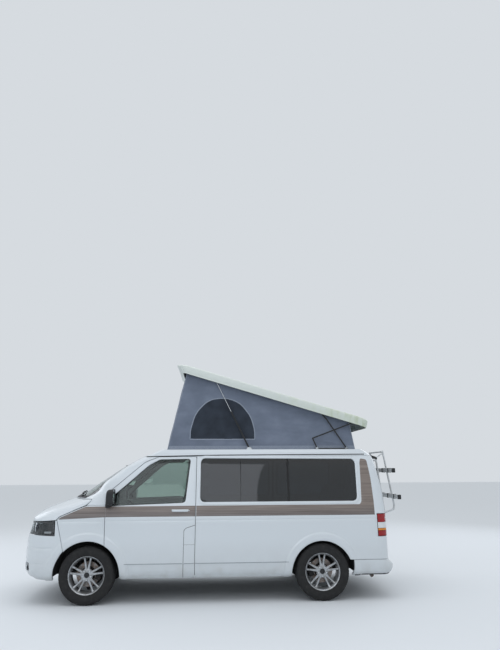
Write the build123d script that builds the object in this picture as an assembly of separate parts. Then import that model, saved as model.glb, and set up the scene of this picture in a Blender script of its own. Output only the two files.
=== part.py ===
from build123d import *
import math
import os

# A camper van with its pop-top raised, one STEP file for each piece.
# Millimetres. X is forward, Y is to the van's left, Z is up. The ground is Z 0, and the whole van with its
# folded carrier has its middle at X 0, Y 0.

# Wheels and axles
WHEELBASE = 3000
FRONT_AXLE_X = 1652
REAR_AXLE_X = FRONT_AXLE_X - WHEELBASE
HALF_TRACK = 814
TYRE_RADIUS = 345
HUB_Z = TYRE_RADIUS
TYRE_HALF_WIDTH = 117.5
BEAD_RADIUS = 216
FLANGE_RADIUS = 229
KINGPIN_Y = 764

# Body walls
WALL = 45
ROOF_SKIN = 30
BELLY_SKIN = 40
GLASS_SET = 3
GLASS_DEEP = 13
DOOR_SKIN = 22
DOOR_REBATE = 15
HALF_GAP = 3
ROOF_SPLIT_Z = 1800
LEDGE_Z = 1888
FLOOR_BOTTOM = 480
FLOOR_TOP = 520
BUMPER_TOP_Z = 487
BUMPER_FRONT_X = -1720

# Wheel arches: centre x, centre z, radius of the opening
FRONT_ARCH = (1657, 335, 416)
REAR_ARCH = (-1347, 322, 400)
LINER_RADIUS = 437
LINER_SKIN = 12

# Pop-top panel, in its own axes: from its rear top edge forwards along the panel, and down from its top
PANEL_REAR = (-2110, 2290)
PANEL_TILT = 16.5
PANEL_LENGTH = 2855
PANEL_HALF_WIDTH = 812
PANEL_TAPER = 10
PANEL_DEPTH = 115
PANEL_SKIN = 30
PANEL_SKIRT = 22
PANEL_CROWN = 18
PANEL_NOSE_SLANT = 155
PIVOT_DEPTH = 100

# Lanes of the roof linkage, left side, each as (inner y, outer y)
LANE_ROOF_LUG = (728, 734)
LANE_LINK = (737, 743)
LANE_ARM = (746, 752)
LANE_BAR = (755, 761)
LANE_CRANK = (764, 770)
LANE_OUTER_LUG = (773, 779)
BAR_WIDTH = 18
PIN_RADIUS = 4
HOLE_RADIUS = 4.5
BASE_PIVOT_Z = 1906

# Waterlines of the body, from the sills up to the roof ledge:
# z, half width, nose x, nose set-back at the corner, nose corner radius, tail x, tail set-back, tail corner radius
WATERLINES = [
    (290, 858, 2535, 230, 300, -2325, 85, 120),
    (345, 915, 2575, 185, 330, -2352, 75, 130),
    (410, 932, 2597.2, 165, 340, -2368, 72, 140),
    (487, 941, 2602.2, 165, 350, -2294, 65, 110),
    (720, 950, 2600, 165, 350, -2292, 65, 110),
    (1003, 950, 2558, 180, 350, -2290, 65, 110),
    (1035, 946, 2585, 233, 350, -2289, 65, 110),
    (1110, 934, 2556, 361, 340, -2288, 65, 110),
    (1190, 922, 2500, 615, 250, -2285, 65, 110),
    (1262, 911, 2405, 765, 150, -2280, 65, 105),
    (1340, 901, 2215, 685, 130, -2271, 64, 103),
    (1500, 880, 1800, 375, 110, -2243, 60, 100),
    (1680, 850, 1478, 292, 95, -2201, 56, 95),
    (1800, 815, 1190, 210, 85, -2160, 52, 90),
    (1845, 801, 1040, 150, 80, -2099, 48, 85),
    (1888, 782, 885, 95, 70, -2032, 42, 80),
]

# Side outlines. Each row is x, z and the corner's radius.
FRONT_DOOR = [
    (1446, 280, 0), (1446, 720, 200), (1463, 1150, 200), (1466, 1315, 40),
    (985, 1724, 150), (810, 1793, 80), (300, 1793, 25), (300, 280, 0),
]
DOOR_WINDOW = [
    (1436, 1172, 12), (1436, 1250, 12), (1209, 1441, 900), (931, 1687, 300),
    (790, 1760, 90), (378, 1766, 30), (436, 1205, 45),
]
LEFT_WINDOW = [(244, 1211, 55), (244, 1772, 55), (-1857, 1758, 60), (-1846, 1211, 60)]
SLIDING_DOOR = [(240, 308, 25), (240, 1785, 30), (-900, 1785, 30), (-900, 308, 25)]
SLIDING_WINDOW = [(190, 1211, 55), (190, 1770, 55), (-850, 1765, 55), (-850, 1211, 55)]
QUARTER_WINDOW = [(-955, 1211, 55), (-955, 1764, 55), (-1857, 1758, 60), (-1846, 1211, 60)]
BONNET = [
    (2700, 995, 0), (2350, 992, 0), (2081, 1010, 0), (2062, 1017, 15), (2036, 1051, 40), (1812, 1147, 200),
    (1703, 1191, 80), (1648, 1255, 0), (1648, 1330, 0), (2700, 1330, 0),
]
CAB = [
    (1466, 1184, 0), (2700, 1184, 0), (2700, 1800, 0), (297, 1800, 0), (297, 1500, 0), (1300, 1184, 0),
]
WING = [
    (1449, 300, 0), (1449, 720, 200), (1466, 1150, 0), (1466, 1184, 0), (1694, 1184, 0),
    (1809, 1140, 200), (2031, 1046, 40), (2056, 1011, 15), (1952, 640, 0), (1952, 300, 0),
]
NOSE = [
    (1952, 270, 0), (1955, 640, 0), (2063, 1010, 0), (2081, 1004, 0), (2350, 986, 0),
    (2700, 989, 0), (2700, 270, 0),
]
HEADLAMP = [(2073, 820, 15), (2079, 1003, 15), (2350, 985, 60), (2700, 985, 0), (2700, 838, 0), (2460, 838, 60)]

# End outlines. Each row is y, z and the corner's radius.
TAILGATE = [
    (775, 527, 60), (778, 1060, 400), (722, 1797, 90),
    (-722, 1797, 90), (-778, 1060, 400), (-775, 527, 60),
]
TAILGATE_SILL = [(778, 480, 0), (778, 1060, 0), (-778, 1060, 0), (-778, 480, 0)]
REAR_WINDOW = [(655, 1215, 80), (615, 1752, 80), (-615, 1752, 80), (-655, 1215, 80)]
WINDSCREEN = [(806, 1276, 60), (706, 1768, 70), (-706, 1768, 70), (-806, 1276, 60)]
GRILLE_OPENING = [(530, 852, 20), (530, 972, 20), (-530, 972, 20), (-530, 852, 20)]
INTAKE_OPENING = [(520, 430, 30), (560, 590, 30), (-560, 590, 30), (-520, 430, 30)]

os.makedirs("parts", exist_ok=True)


def corner(before, here, after, radius, room):
    """Start, middle and end of the arc at one corner, and the radius that its two edges leave room for."""
    ax, ay = before[0] - here[0], before[1] - here[1]
    bx, by = after[0] - here[0], after[1] - here[1]
    la, lb = math.hypot(ax, ay), math.hypot(bx, by)
    ax, ay, bx, by = ax / la, ay / la, bx / lb, by / lb
    half = math.acos(max(-1, min(1, ax * bx + ay * by))) / 2
    reach = min(radius / math.tan(half), room) if radius is not None else room
    r = reach * math.tan(half)
    mx, my = ax + bx, ay + by
    lm = math.hypot(mx, my)
    out = r / math.sin(half) - r
    start = (here[0] + ax * reach, here[1] + ay * reach)
    end = (here[0] + bx * reach, here[1] + by * reach)
    middle = (here[0] + mx / lm * out, here[1] + my / lm * out)
    return start, middle, end, reach


def signed_area(rows):
    """Twice the area inside the corners, positive where they run anticlockwise."""
    return sum(a[0] * b[1] - b[0] * a[1] for a, b in zip(rows, rows[1:] + rows[:1]))


def outline(rows):
    """A flat face with straight edges and round corners. A radius of None takes the room its edges leave."""
    rows = rows if signed_area(rows) > 0 else rows[::-1]
    count = len(rows)
    length = [math.dist(rows[i][:2], rows[(i + 1) % count][:2]) for i in range(count)]
    used = [0.0] * count
    arcs = [None] * count
    for i in sorted(range(count), key=lambda k: rows[k][2] is None):
        if rows[i][2] == 0:
            continue
        before, after = rows[i - 1], rows[(i + 1) % count]
        room = 0.96 * min(length[i - 1] - used[i - 1], length[i] - used[(i + 1) % count])
        start, middle, end, reach = corner(before, rows[i], after, rows[i][2], room)
        arcs[i] = (start, middle, end)
        used[i] = reach
    edges = []
    for i in range(count):
        here = arcs[i]
        after = arcs[(i + 1) % count]
        leave = here[2] if here else rows[i][:2]
        reach_next = after[0] if after else rows[(i + 1) % count][:2]
        if here:
            edges.append(ThreePointArc(*here))
        if math.dist(leave, reach_next) > 0.01:
            edges.append(Line(leave, reach_next))
    return Face(Wire(edges))


def grow(rows, amount):
    """The same outline with every edge moved outwards by an amount, or inwards where it is negative."""
    count = len(rows)
    side = 1 if signed_area(rows) > 0 else -1
    lines = []
    for i in range(count):
        (x0, y0), (x1, y1) = rows[i][:2], rows[(i + 1) % count][:2]
        span = math.hypot(x1 - x0, y1 - y0)
        nx, ny = side * (y1 - y0) / span, -side * (x1 - x0) / span
        lines.append((nx, ny, nx * x0 + ny * y0 + amount))
    grown = []
    for i in range(count):
        a1, b1, c1 = lines[i - 1]
        a2, b2, c2 = lines[i]
        det = a1 * b2 - a2 * b1
        x, y = (c1 * b2 - c2 * b1) / det, (a1 * c2 - a2 * c1) / det
        grown.append((x, y, rows[i][2] + amount if rows[i][2] and rows[i][2] + amount > 1 else rows[i][2]))
    return grown


def side_prism(rows, low_y, high_y):
    """A prism whose outline is drawn in X and Z, from one Y to the other."""
    plane = Plane(origin=(0, high_y, 0), x_dir=(1, 0, 0), z_dir=(0, -1, 0))
    return extrude(plane * outline(rows), amount=high_y - low_y)


def end_prism(rows, low_x, high_x):
    """A prism whose outline is drawn in Y and Z, from one X to the other."""
    plane = Plane(origin=(low_x, 0, 0), x_dir=(0, 1, 0), z_dir=(1, 0, 0))
    return extrude(plane * outline(rows), amount=high_x - low_x)


def plan_prism(rows, low_z, high_z):
    """A prism whose outline is drawn in X and Y, from one Z to the other."""
    return extrude(Plane.XY.offset(low_z) * outline(rows), amount=high_z - low_z)


def block(low, high):
    """A box between two opposite corners."""
    size = [b - a for a, b in zip(low, high)]
    middle = [(a + b) / 2 for a, b in zip(low, high)]
    return Pos(*middle) * Box(*size)


def rod(start, end, radius):
    """A round bar from one point to another."""
    a, b = Vector(*start), Vector(*end)
    plane = Plane(origin=a, z_dir=(b - a))
    return extrude(plane * Circle(radius), amount=(b - a).length)


def bent_rod(points, radius):
    """A round bar through several points, with a ball at each bend."""
    bar = rod(points[0], points[1], radius)
    for start, end in zip(points[1:], points[2:]):
        bar = bar + rod(start, end, radius) + Pos(*start) * Sphere(radius)
    return bar


def wheel_cylinder(axle_x, centre_z, radius, low_y, high_y):
    """A cylinder along Y about one axle."""
    plane = Plane(origin=(axle_x, low_y, centre_z), x_dir=(1, 0, 0), z_dir=(0, 1, 0))
    return extrude(plane * Circle(radius), amount=high_y - low_y)


def other_side(shape):
    """The same shape on the van's right."""
    return mirror(shape, about=Plane.XZ)


def both_sides(shape):
    """A left piece and its right copy, as solids that don't touch."""
    return Compound(children=solids_of(shape) + solids_of(other_side(shape)))


def solids_of(shape):
    """Every solid of a shape, without slivers."""
    return [s for s in shape.solids() if s.volume > 500]


def save(name, shape):
    """Write one piece as its own file."""
    pieces = solids_of(shape)
    export_step(pieces[0] if len(pieces) == 1 else Compound(children=pieces), "parts/" + name + ".step")


def waterline(row, inset):
    """One level of the body as a flat face, drawn in from the skin by an inset."""
    z, half, nose, nose_set, nose_r, tail, tail_set, tail_r = row
    half, nose, tail = half - inset, nose - inset, tail + inset
    right = [
        (tail + tail_set, -half, max(tail_r - inset, 20)),
        (nose - nose_set, -half, max(nose_r - inset, 20)),
    ]
    left = [(x, -y, r) for x, y, r in reversed(right)]
    return Pos(0, 0, z) * outline([(tail, 0, None)] + right + [(nose, 0, None)] + left)


def level(z):
    """The waterline row at any height, in line between its neighbours."""
    for low, high in zip(WATERLINES, WATERLINES[1:]):
        if low[0] <= z <= high[0]:
            share = (z - low[0]) / (high[0] - low[0])
            return tuple(a + (b - a) * share for a, b in zip(low, high))
    return WATERLINES[-1]


def body_form(inset, bottom_z, top_z):
    """The body's outer form, drawn in by an inset, between two heights."""
    rows = [level(bottom_z)] + [row for row in WATERLINES if bottom_z < row[0] < top_z] + [level(top_z)]
    return loft([waterline(row, inset) for row in rows], ruled=True)


BOTTOM_Z = WATERLINES[0][0]
outer = body_form(0, BOTTOM_Z, LEDGE_Z)
inner = body_form(WALL, BOTTOM_Z + BELLY_SKIN, LEDGE_Z - ROOF_SKIN)
skin = body_form(DOOR_SKIN, BOTTOM_Z, LEDGE_Z)
inside = body_form(WALL + 2, BOTTOM_Z + BELLY_SKIN, LEDGE_Z - ROOF_SKIN)
belly = block((-2235, -800, 200), (2405, 800, BOTTOM_Z + BELLY_SKIN + 2))
shell = outer - inner - belly
glass_skin = body_form(GLASS_SET, 1100, ROOF_SPLIT_Z) - body_form(GLASS_DEEP, 1100, ROOF_SPLIT_Z)

front_arch = wheel_cylinder(*FRONT_ARCH, 470, 1000)
rear_arch = wheel_cylinder(*REAR_ARCH, 590, 1000)
left_half_y = (300, 1000)

# Left front door, thinner at its rebated edge, with its mirror
door = shell & side_prism(grow(FRONT_DOOR, -HALF_GAP), *left_half_y)
rebate = side_prism(grow(FRONT_DOOR, 1), *left_half_y) - side_prism(grow(FRONT_DOOR, -DOOR_REBATE), *left_half_y)
door = door - (rebate & skin) - front_arch - side_prism(DOOR_WINDOW, *left_half_y)
door_glass = glass_skin & side_prism(DOOR_WINDOW, *left_half_y)
MIRROR = [(962, 1190, 35), (1141, 1190, 50), (1141, 1385, 50), (985, 1385, 45)]
mirror_head = end_prism(MIRROR, 1335, 1432)
mirror_arm = block((1395, 890, 1140), (1456, 985, 1218)) - body_form(2, 1100, 1300)
door = door + mirror_head + mirror_arm
save("door_left", door)
save("door_right", other_side(door))
save("door_left_glass", door_glass)
save("door_right_glass", other_side(door_glass))

# Sides of the body, with sill boxes that carry the floor and posts behind the long windows
door_opening = side_prism(grow(FRONT_DOOR, HALF_GAP), *left_half_y)
side_zone = [(297, 270, 0), (297, ROOF_SPLIT_Z, 0), (-2400, ROOF_SPLIT_Z, 0), (-2400, 270, 0)]
side = shell & side_prism(side_zone, *left_half_y)
side = side - block((-2500, 300, 200), (BUMPER_FRONT_X, 1000, BUMPER_TOP_Z)) - rear_arch
tailgate_opening = end_prism(grow(TAILGATE, HALF_GAP), -2500, -2000)
side = side - tailgate_opening - end_prism(TAILGATE_SILL, -2500, -2100)
lamp_zone = block((-2400, 781, 769), (-2092, 1000, 1050))
side = side - lamp_zone
sill_box = block((-905, 800, 335), (297, 905, FLOOR_BOTTOM)) & skin
side = side + sill_box
window_post = block((-957, 700, 1150), (-897, 1000, 1790)) & body_form(16, 1150, 1790)
post_hollow = body_form(WALL, 1140, ROOF_SPLIT_Z)
side_left = side - side_prism(LEFT_WINDOW, *left_half_y) + (window_post - post_hollow)
side_right = other_side(side - side_prism(grow(SLIDING_DOOR, HALF_GAP), *left_half_y)
                        - side_prism(QUARTER_WINDOW, *left_half_y))
sliding_door = (shell & side_prism(grow(SLIDING_DOOR, -HALF_GAP), *left_half_y)) - rear_arch
sliding_door = other_side(sliding_door - side_prism(SLIDING_WINDOW, *left_half_y))
side_glass = solids_of(glass_skin & side_prism(LEFT_WINDOW, *left_half_y))
side_glass += solids_of(other_side(glass_skin & side_prism(SLIDING_WINDOW, *left_half_y)))
side_glass += solids_of(other_side(glass_skin & side_prism(QUARTER_WINDOW, *left_half_y)))
save("side_left", side_left)
save("side_right", side_right)
save("sliding_door", sliding_door)
save("side_glass", Compound(children=side_glass))

# Tailgate and its glass
tailgate = shell & end_prism(TAILGATE, -2500, -2000)
rear_window = end_prism(REAR_WINDOW, -2500, -2000)
save("tailgate", tailgate - rear_window)
save("tailgate_glass", glass_skin & rear_window)

# Bonnet, which ends at a level line under the windscreen, wings, cab frame with its firewall, windscreen
COWL_Z = 1250
COWL_INSET = 22
BONNET_GAP = 7


def cowl(inset):
    """What lies behind the bonnet's rear edge, as an upright prism."""
    return extrude(Pos(0, 0, 1100 - COWL_Z) * waterline(level(COWL_Z), inset), amount=300)


bonnet = (shell & side_prism(BONNET, -1000, 1000)) - cowl(COWL_INSET)
save("bonnet", bonnet)
wing = (shell & side_prism(WING, *left_half_y)) - front_arch
save("front_wings", both_sides(wing))
bonnet_room = side_prism(grow(BONNET, BONNET_GAP), -1000, 1000) - cowl(COWL_INSET + BONNET_GAP)
cab = (shell & side_prism(CAB, -1000, 1000)) - bonnet_room
cab = cab - door_opening - other_side(door_opening) - end_prism(WINDSCREEN, 900, 2200)
front_housing = wheel_cylinder(FRONT_AXLE_X, HUB_Z, LINER_RADIUS + 1, 470, 1000)
firewall = block((1520, -900, FLOOR_TOP), (1550, 900, 1184)) & inside
firewall_top = block((1520, -900, 1184), (1550, 900, 1215)) & body_form(WALL - 5, 1100, 1400)
cab = cab + (firewall - front_housing - other_side(front_housing)) + firewall_top
save("cab_frame", cab)
save("windscreen", glass_skin & end_prism(WINDSCREEN, 900, 2200))

# Front bumper with its grille bars, rear bumper
nose = (shell & side_prism(NOSE, -1000, 1000)) - front_arch - other_side(front_arch)
headlamp_zone = side_prism(HEADLAMP, 560, 1000)
nose = nose - headlamp_zone - other_side(headlamp_zone)
openings = [end_prism(GRILLE_OPENING, 2300, 2700), end_prism(INTAKE_OPENING, 2300, 2700)]
# Grille bars: low z, high z, half length
GRILLE_BARS = [
    (440, 455, 575), (478, 493, 575), (516, 531, 575), (554, 569, 575),
    (862, 878, 550), (898, 914, 550), (934, 950, 550),
]
bar_skin = body_form(8, 400, 1000) - body_form(30, 400, 1000)
for opening in openings:
    nose = nose - opening
for low_z, high_z, reach in GRILLE_BARS:
    nose = nose + (bar_skin & block((2300, -reach, low_z), (2700, reach, high_z)))
save("front_bumper", nose)
rear_zone = block((-2500, -1000, 200), (BUMPER_FRONT_X, 1000, BUMPER_TOP_Z))
rear_zone = rear_zone + block((-2500, -775, 480), (-2150, 775, 524))
rear_bumper = (shell & rear_zone) - rear_arch - other_side(rear_arch)
save("rear_bumper", rear_bumper)

# Headlamps and tail lamps
lamp_front = (body_form(2, 700, 1100) - body_form(60, 700, 1100)) & headlamp_zone
lamp_rear = (body_form(1, 700, 1100) - body_form(WALL, 700, 1100)) & lamp_zone
lamps = solids_of(lamp_front) + solids_of(lamp_rear)
lamps += solids_of(other_side(lamp_front)) + solids_of(other_side(lamp_rear))
save("lamps", Compound(children=lamps))

# Fixed roof: cab roof and the ledge round the hatch, with the lugs of the pop-top's linkage
HATCH = [(560, 560, 60), (560, -560, 60), (-1750, -560, 60), (-1750, 560, 60)]


def panel_point(along, down):
    """X and Z of a point of the raised pop-top panel."""
    tilt = math.radians(PANEL_TILT)
    x = PANEL_REAR[0] + along * math.cos(tilt) + down * math.sin(tilt)
    z = PANEL_REAR[1] + along * math.sin(tilt) - down * math.cos(tilt)
    return x, z


ARM_BASE = (-1773, BASE_PIVOT_Z)
CRANK_BASE = (-1356, BASE_PIVOT_Z)
STRUT_BASE = (-413, BASE_PIVOT_Z)
LINK_TOP = panel_point(664, PIVOT_DEPTH)
ARM_TOP = (-1504, 2310)
BAR_TOP = panel_point(207, PIVOT_DEPTH)
BAR_FOOT = (-1299, 2038)
STRUT_TOP = panel_point(2220, PIVOT_DEPTH)


def pin(point, low_y, high_y, radius=PIN_RADIUS):
    """A pin or a hole along Y at one pivot."""
    return wheel_cylinder(point[0], point[1], radius, low_y, high_y)


def flat_bar(start, end, lane, holes):
    """A flat bar with round ends between two pivots, and a hole at each pivot named."""
    dx, dz = end[0] - start[0], end[1] - start[1]
    span = math.hypot(dx, dz)
    ux, uz = dx / span, dz / span
    h = BAR_WIDTH / 2
    corners = []
    for base, sign in ((start, -1), (end, 1)):
        for flip in (1, -1):
            corners.append((base[0] + sign * ux * h - flip * sign * uz * h,
                            base[1] + sign * uz * h + flip * sign * ux * h, h * 0.95))
    bar = side_prism(corners, *lane)
    for point in holes:
        bar = bar - pin(point, lane[0] - 5, lane[1] + 5, HOLE_RADIUS)
    return bar


def ledge_lug(point, lane):
    """A lug that stands on the roof ledge and holds a pivot."""
    rows = [(point[0] - 22, LEDGE_Z, 0), (point[0] - 10, point[1] + 10, 8),
            (point[0] + 10, point[1] + 10, 8), (point[0] + 22, LEDGE_Z, 0)]
    return side_prism(rows, *lane)


roof = shell & block((-2500, -1000, ROOF_SPLIT_Z), (2600, 1000, LEDGE_Z + 5))
roof = roof - plan_prism(HATCH, 1700, 2000)
lugs = ledge_lug(ARM_BASE, LANE_LINK) + pin(ARM_BASE, LANE_LINK[1] - 1, LANE_ARM[1] + 2)
lugs = lugs + ledge_lug(CRANK_BASE, LANE_OUTER_LUG) + pin(CRANK_BASE, LANE_CRANK[0] - 2, LANE_OUTER_LUG[0])
lugs = lugs + ledge_lug(STRUT_BASE, LANE_CRANK) + pin(STRUT_BASE, 746, LANE_CRANK[0])
save("fixed_roof", roof + lugs + other_side(lugs))

# Linkage of the pop-top, left and right alike
arm = flat_bar(ARM_BASE, ARM_TOP, LANE_ARM, [ARM_BASE]) + pin(ARM_TOP, LANE_LINK[0] - 2, LANE_ARM[0])
link = flat_bar(ARM_TOP, LINK_TOP, LANE_LINK, [ARM_TOP, LINK_TOP])
roof_bar = flat_bar(BAR_TOP, BAR_FOOT, LANE_BAR, [BAR_TOP])
crank = flat_bar(CRANK_BASE, BAR_FOOT, LANE_CRANK, [CRANK_BASE])
save("roof_arms", both_sides(arm))
save("roof_links", both_sides(link))
save("roof_bars", both_sides(roof_bar))
save("roof_cranks", both_sides(crank))

# Gas struts: the tube stands on the ledge, the rod slides out of it to the panel
TUBE_LENGTH = 560
TUBE_RADIUS = 11
ROD_RADIUS = 5
ROD_BORE = 6
STRUT_Y = 752
strut_span = math.dist(STRUT_BASE, STRUT_TOP)


def strut_point(share):
    """A point on the left strut's line, at a distance from its foot."""
    x = STRUT_BASE[0] + (STRUT_TOP[0] - STRUT_BASE[0]) * share / strut_span
    z = STRUT_BASE[1] + (STRUT_TOP[1] - STRUT_BASE[1]) * share / strut_span
    return x, STRUT_Y, z


tube = rod(strut_point(9), strut_point(TUBE_LENGTH), TUBE_RADIUS) + pin(STRUT_BASE, 744, 760, 13)
tube = tube - rod(strut_point(60), strut_point(TUBE_LENGTH + 5), ROD_BORE) - pin(STRUT_BASE, 735, 765, HOLE_RADIUS)
strut_rod = rod(strut_point(TUBE_LENGTH - 54), strut_point(strut_span - 4), ROD_RADIUS)
strut_rod = strut_rod + pin(STRUT_TOP, 745, 759, 9)
save("strut_tubes", both_sides(tube))
save("strut_rods", both_sides(strut_rod))

# Pop-top panel: a shallow hollow lid with a slanted nose, drawn level and then tilted up
PANEL_SIDE = [
    (-23, -PANEL_DEPTH, 0), (0, PANEL_CROWN, 30), (PANEL_LENGTH - 250, PANEL_CROWN, 300), (PANEL_LENGTH, 0, 20),
    (PANEL_LENGTH - PANEL_NOSE_SLANT, -PANEL_DEPTH, 0),
]
PANEL_PLAN = [
    (-30, PANEL_HALF_WIDTH, 130), (PANEL_LENGTH + 5, PANEL_HALF_WIDTH - PANEL_TAPER, 170),
    (PANEL_LENGTH + 5, PANEL_TAPER - PANEL_HALF_WIDTH, 170), (-30, -PANEL_HALF_WIDTH, 130),
]
PANEL_END = [
    (PANEL_HALF_WIDTH, -PANEL_DEPTH - 1, 0), (PANEL_HALF_WIDTH, -8, 12), (0, PANEL_CROWN, None),
    (-PANEL_HALF_WIDTH, -8, 12), (-PANEL_HALF_WIDTH, -PANEL_DEPTH - 1, 0),
]
HOLLOW_SIDE = [
    (5, -PANEL_DEPTH - 5, 0), (25, -PANEL_SKIN, 20), (PANEL_LENGTH - 90, -PANEL_SKIN, 20),
    (PANEL_LENGTH - PANEL_NOSE_SLANT - 30, -PANEL_DEPTH - 5, 0),
]
panel = side_prism(PANEL_SIDE, -900, 900) & plan_prism(PANEL_PLAN, -200, 100)
panel = panel & end_prism(PANEL_END, -100, 3000)
hollow = side_prism(HOLLOW_SIDE, -900, 900) & plan_prism(grow(PANEL_PLAN, -PANEL_SKIRT), -200, 100)
panel = panel - hollow
for along, lane, reach in ((664, LANE_ROOF_LUG, LANE_LINK[1] + 2), (207, LANE_CRANK, LANE_BAR[0] - 2)):
    lug_rows = [(along - 30, -PANEL_SKIN + 1, 0), (along - 10, -PIVOT_DEPTH - 10, 8),
                (along + 10, -PIVOT_DEPTH - 10, 8), (along + 30, -PANEL_SKIN + 1, 0)]
    lug = side_prism(lug_rows, *lane)
    near, far = sorted((reach, sum(lane) / 2))
    lug = lug + wheel_cylinder(along, -PIVOT_DEPTH, PIN_RADIUS, near, far)
    panel = panel + lug + other_side(lug)
panel = Pos(PANEL_REAR[0], 0, PANEL_REAR[1]) * Rot(0, -PANEL_TILT, 0) * panel
save("roof_panel", panel)

# Canvas between the ledge and the panel, hollow like the real tent
CANVAS_HALF_WIDTH = 712
CANVAS_SKIN = 8
CANVAS = [(719, LEDGE_Z, 0), (464, 3014, 0), (-1832, 2334, 0), (-1913, LEDGE_Z, 0)]
canvas_inner = [(719 - CANVAS_SKIN, 1800, 0), (719 - CANVAS_SKIN, LEDGE_Z, 0), (438 - CANVAS_SKIN, 3080, 0),
                (-1810 + CANVAS_SKIN, 2400, 0), (-1913 + CANVAS_SKIN, LEDGE_Z, 0), (-1913 + CANVAS_SKIN, 1800, 0)]
canvas = side_prism(CANVAS, -CANVAS_HALF_WIDTH, CANVAS_HALF_WIDTH)
canvas = canvas - side_prism(canvas_inner, CANVAS_SKIN - CANVAS_HALF_WIDTH, CANVAS_HALF_WIDTH - CANVAS_SKIN)
save("canvas", canvas)

# Folded bicycle carrier on the tailgate: an inner frame on feet, an outer frame and cross rails
CARRIER_Y = 330
TUBE = 13
INNER_FRAME = [(-2190, 1815), (-2304, 1776), (-2341, 1400), (-2386, 1014)]
OUTER_FRAME = [(-2395, 1860), (-2411, 1872), (-2533, 1118), (-2520, 1060), (-2386, 1014)]
FEET = [(-2307, 1740), (-2374, 1120)]
carrier = bent_rod([(x, CARRIER_Y, z) for x, z in INNER_FRAME], TUBE)
carrier = carrier + bent_rod([(x, CARRIER_Y, z) for x, z in OUTER_FRAME], TUBE)
carrier = carrier + rod((-2304, CARRIER_Y, 1776), (-2403, CARRIER_Y, 1840), 9)
for x, z in FEET:
    carrier = carrier + rod((x, CARRIER_Y, z), (-2100, CARRIER_Y, z), 12)
carrier = carrier + other_side(carrier)
CROSS_TUBES = [(-2304, 1776), (-2386, 1014), (-2405, 1865), (-2341, 1400)]
CROSS_RAILS = [(-2447, 1600), (-2505, 1240)]
for x, z in CROSS_TUBES:
    carrier = carrier + rod((x, -CARRIER_Y, z), (x, CARRIER_Y, z), TUBE - 1)
for x, z in CROSS_RAILS:
    carrier = carrier + block((x - 41, -620, z - 28), (x + 4, 620, z + 28))
save("bike_carrier", carrier - outer)

# Floor with its front rails, and the wheel houses that stand against its edges
floor = block((-2222, -885, FLOOR_BOTTOM), (297, 885, FLOOR_TOP)) & inside
floor = floor + block((290, -868, FLOOR_BOTTOM), (1550, 868, FLOOR_TOP))
liners = None
for axle_x, low_y, high_y in ((FRONT_AXLE_X, 480, 868), (REAR_AXLE_X, 590, 900)):
    house = wheel_cylinder(axle_x, HUB_Z, LINER_RADIUS, low_y, high_y)
    hollow = wheel_cylinder(axle_x, HUB_Z, LINER_RADIUS - LINER_SKIN, low_y + LINER_SKIN, high_y + 50)
    lower = block((axle_x - 500, low_y - 5, -200), (axle_x + 500, high_y + 5, 330))
    room = wheel_cylinder(axle_x, HUB_Z, LINER_RADIUS + 1, low_y, high_y + 50)
    floor = floor - room - other_side(room)
    ring = (house - hollow - lower) & inside
    liners = ring if liners is None else liners + ring
rail = block((1500, 400, 420), (2380, 460, FLOOR_BOTTOM + 10))
shaft_hole = wheel_cylinder(FRONT_AXLE_X, HUB_Z, 70, 470, 500)
arm_hole = block((-1460, 585, 250), (-1110, 605, 450))
liners = liners - shaft_hole - arm_hole
save("floor_pan", floor + rail + other_side(rail))
save("wheel_houses", both_sides(liners))

# Engine as one block, subframe with the lower arms and drive shafts, rear axle with its arms and discs
engine = block((1560, -330, 275), (2280, 330, 960))
save("engine_block", engine)
subframe = block((1450, -460, 215), (1860, 460, 272))
leg = block((1560, 400, 262), (1620, 460, 420))
track_arm = rod((1530, 440, 240), (1652, 715, 166), 20) + rod((1775, 440, 240), (1652, 715, 166), 20)
shaft = rod((1652, 330, HUB_Z), (1652, 688, HUB_Z), 20)
subframe = subframe + leg + other_side(leg) + track_arm + other_side(track_arm)
save("front_axle", Compound(children=solids_of(subframe) + solids_of(shaft) + solids_of(other_side(shaft))))
rear = block((-1010, -560, 330), (-900, 560, 400))
arm_block = rod((-955, 470, 365), (-1348, 640, HUB_Z), 45) + rod((-1348, 600, HUB_Z), (-1348, 762, HUB_Z), 45)
arm_block = arm_block + wheel_cylinder(REAR_AXLE_X, HUB_Z, 150, 762, 784) + wheel_cylinder(REAR_AXLE_X, HUB_Z, 30, 780, 838)
arm_block = arm_block + rod((-1170, 540, 340), (-1170, 540, FLOOR_BOTTOM), 42)
rear = rear + arm_block + other_side(arm_block) + block((-980, 300, 390), (-930, 400, FLOOR_BOTTOM))
rear = rear + block((-980, -400, 390), (-930, -300, FLOOR_BOTTOM))
save("rear_axle", rear)

# Fuel tank and exhaust with its tail pipe behind the left rear wheel
tank = block((250, -290, 265), (950, 350, FLOOR_BOTTOM))
save("fuel_tank", fillet(tank.edges().filter_by(Axis.X), 45))
PIPE = [(1430, -120, 300), (1150, -400, 285), (-1750, -400, 285), (-1850, -300, 320)]
TAIL_PIPE = [(-2010, 240, 340), (-2010, 640, 330), (-2030, 760, 262)]
exhaust = bent_rod(PIPE, 27) + block((-2110, -320, 270), (-1850, 250, 400)) + bent_rod(TAIL_PIPE, 24)
for x, y in ((900, -400), (-300, -400)):
    exhaust = exhaust + block((x - 12, y - 12, 300), (x + 12, y + 12, FLOOR_BOTTOM))
exhaust = exhaust + block((-2000, -40, 390), (-1960, 40, FLOOR_BOTTOM))
save("exhaust", exhaust)

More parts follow.
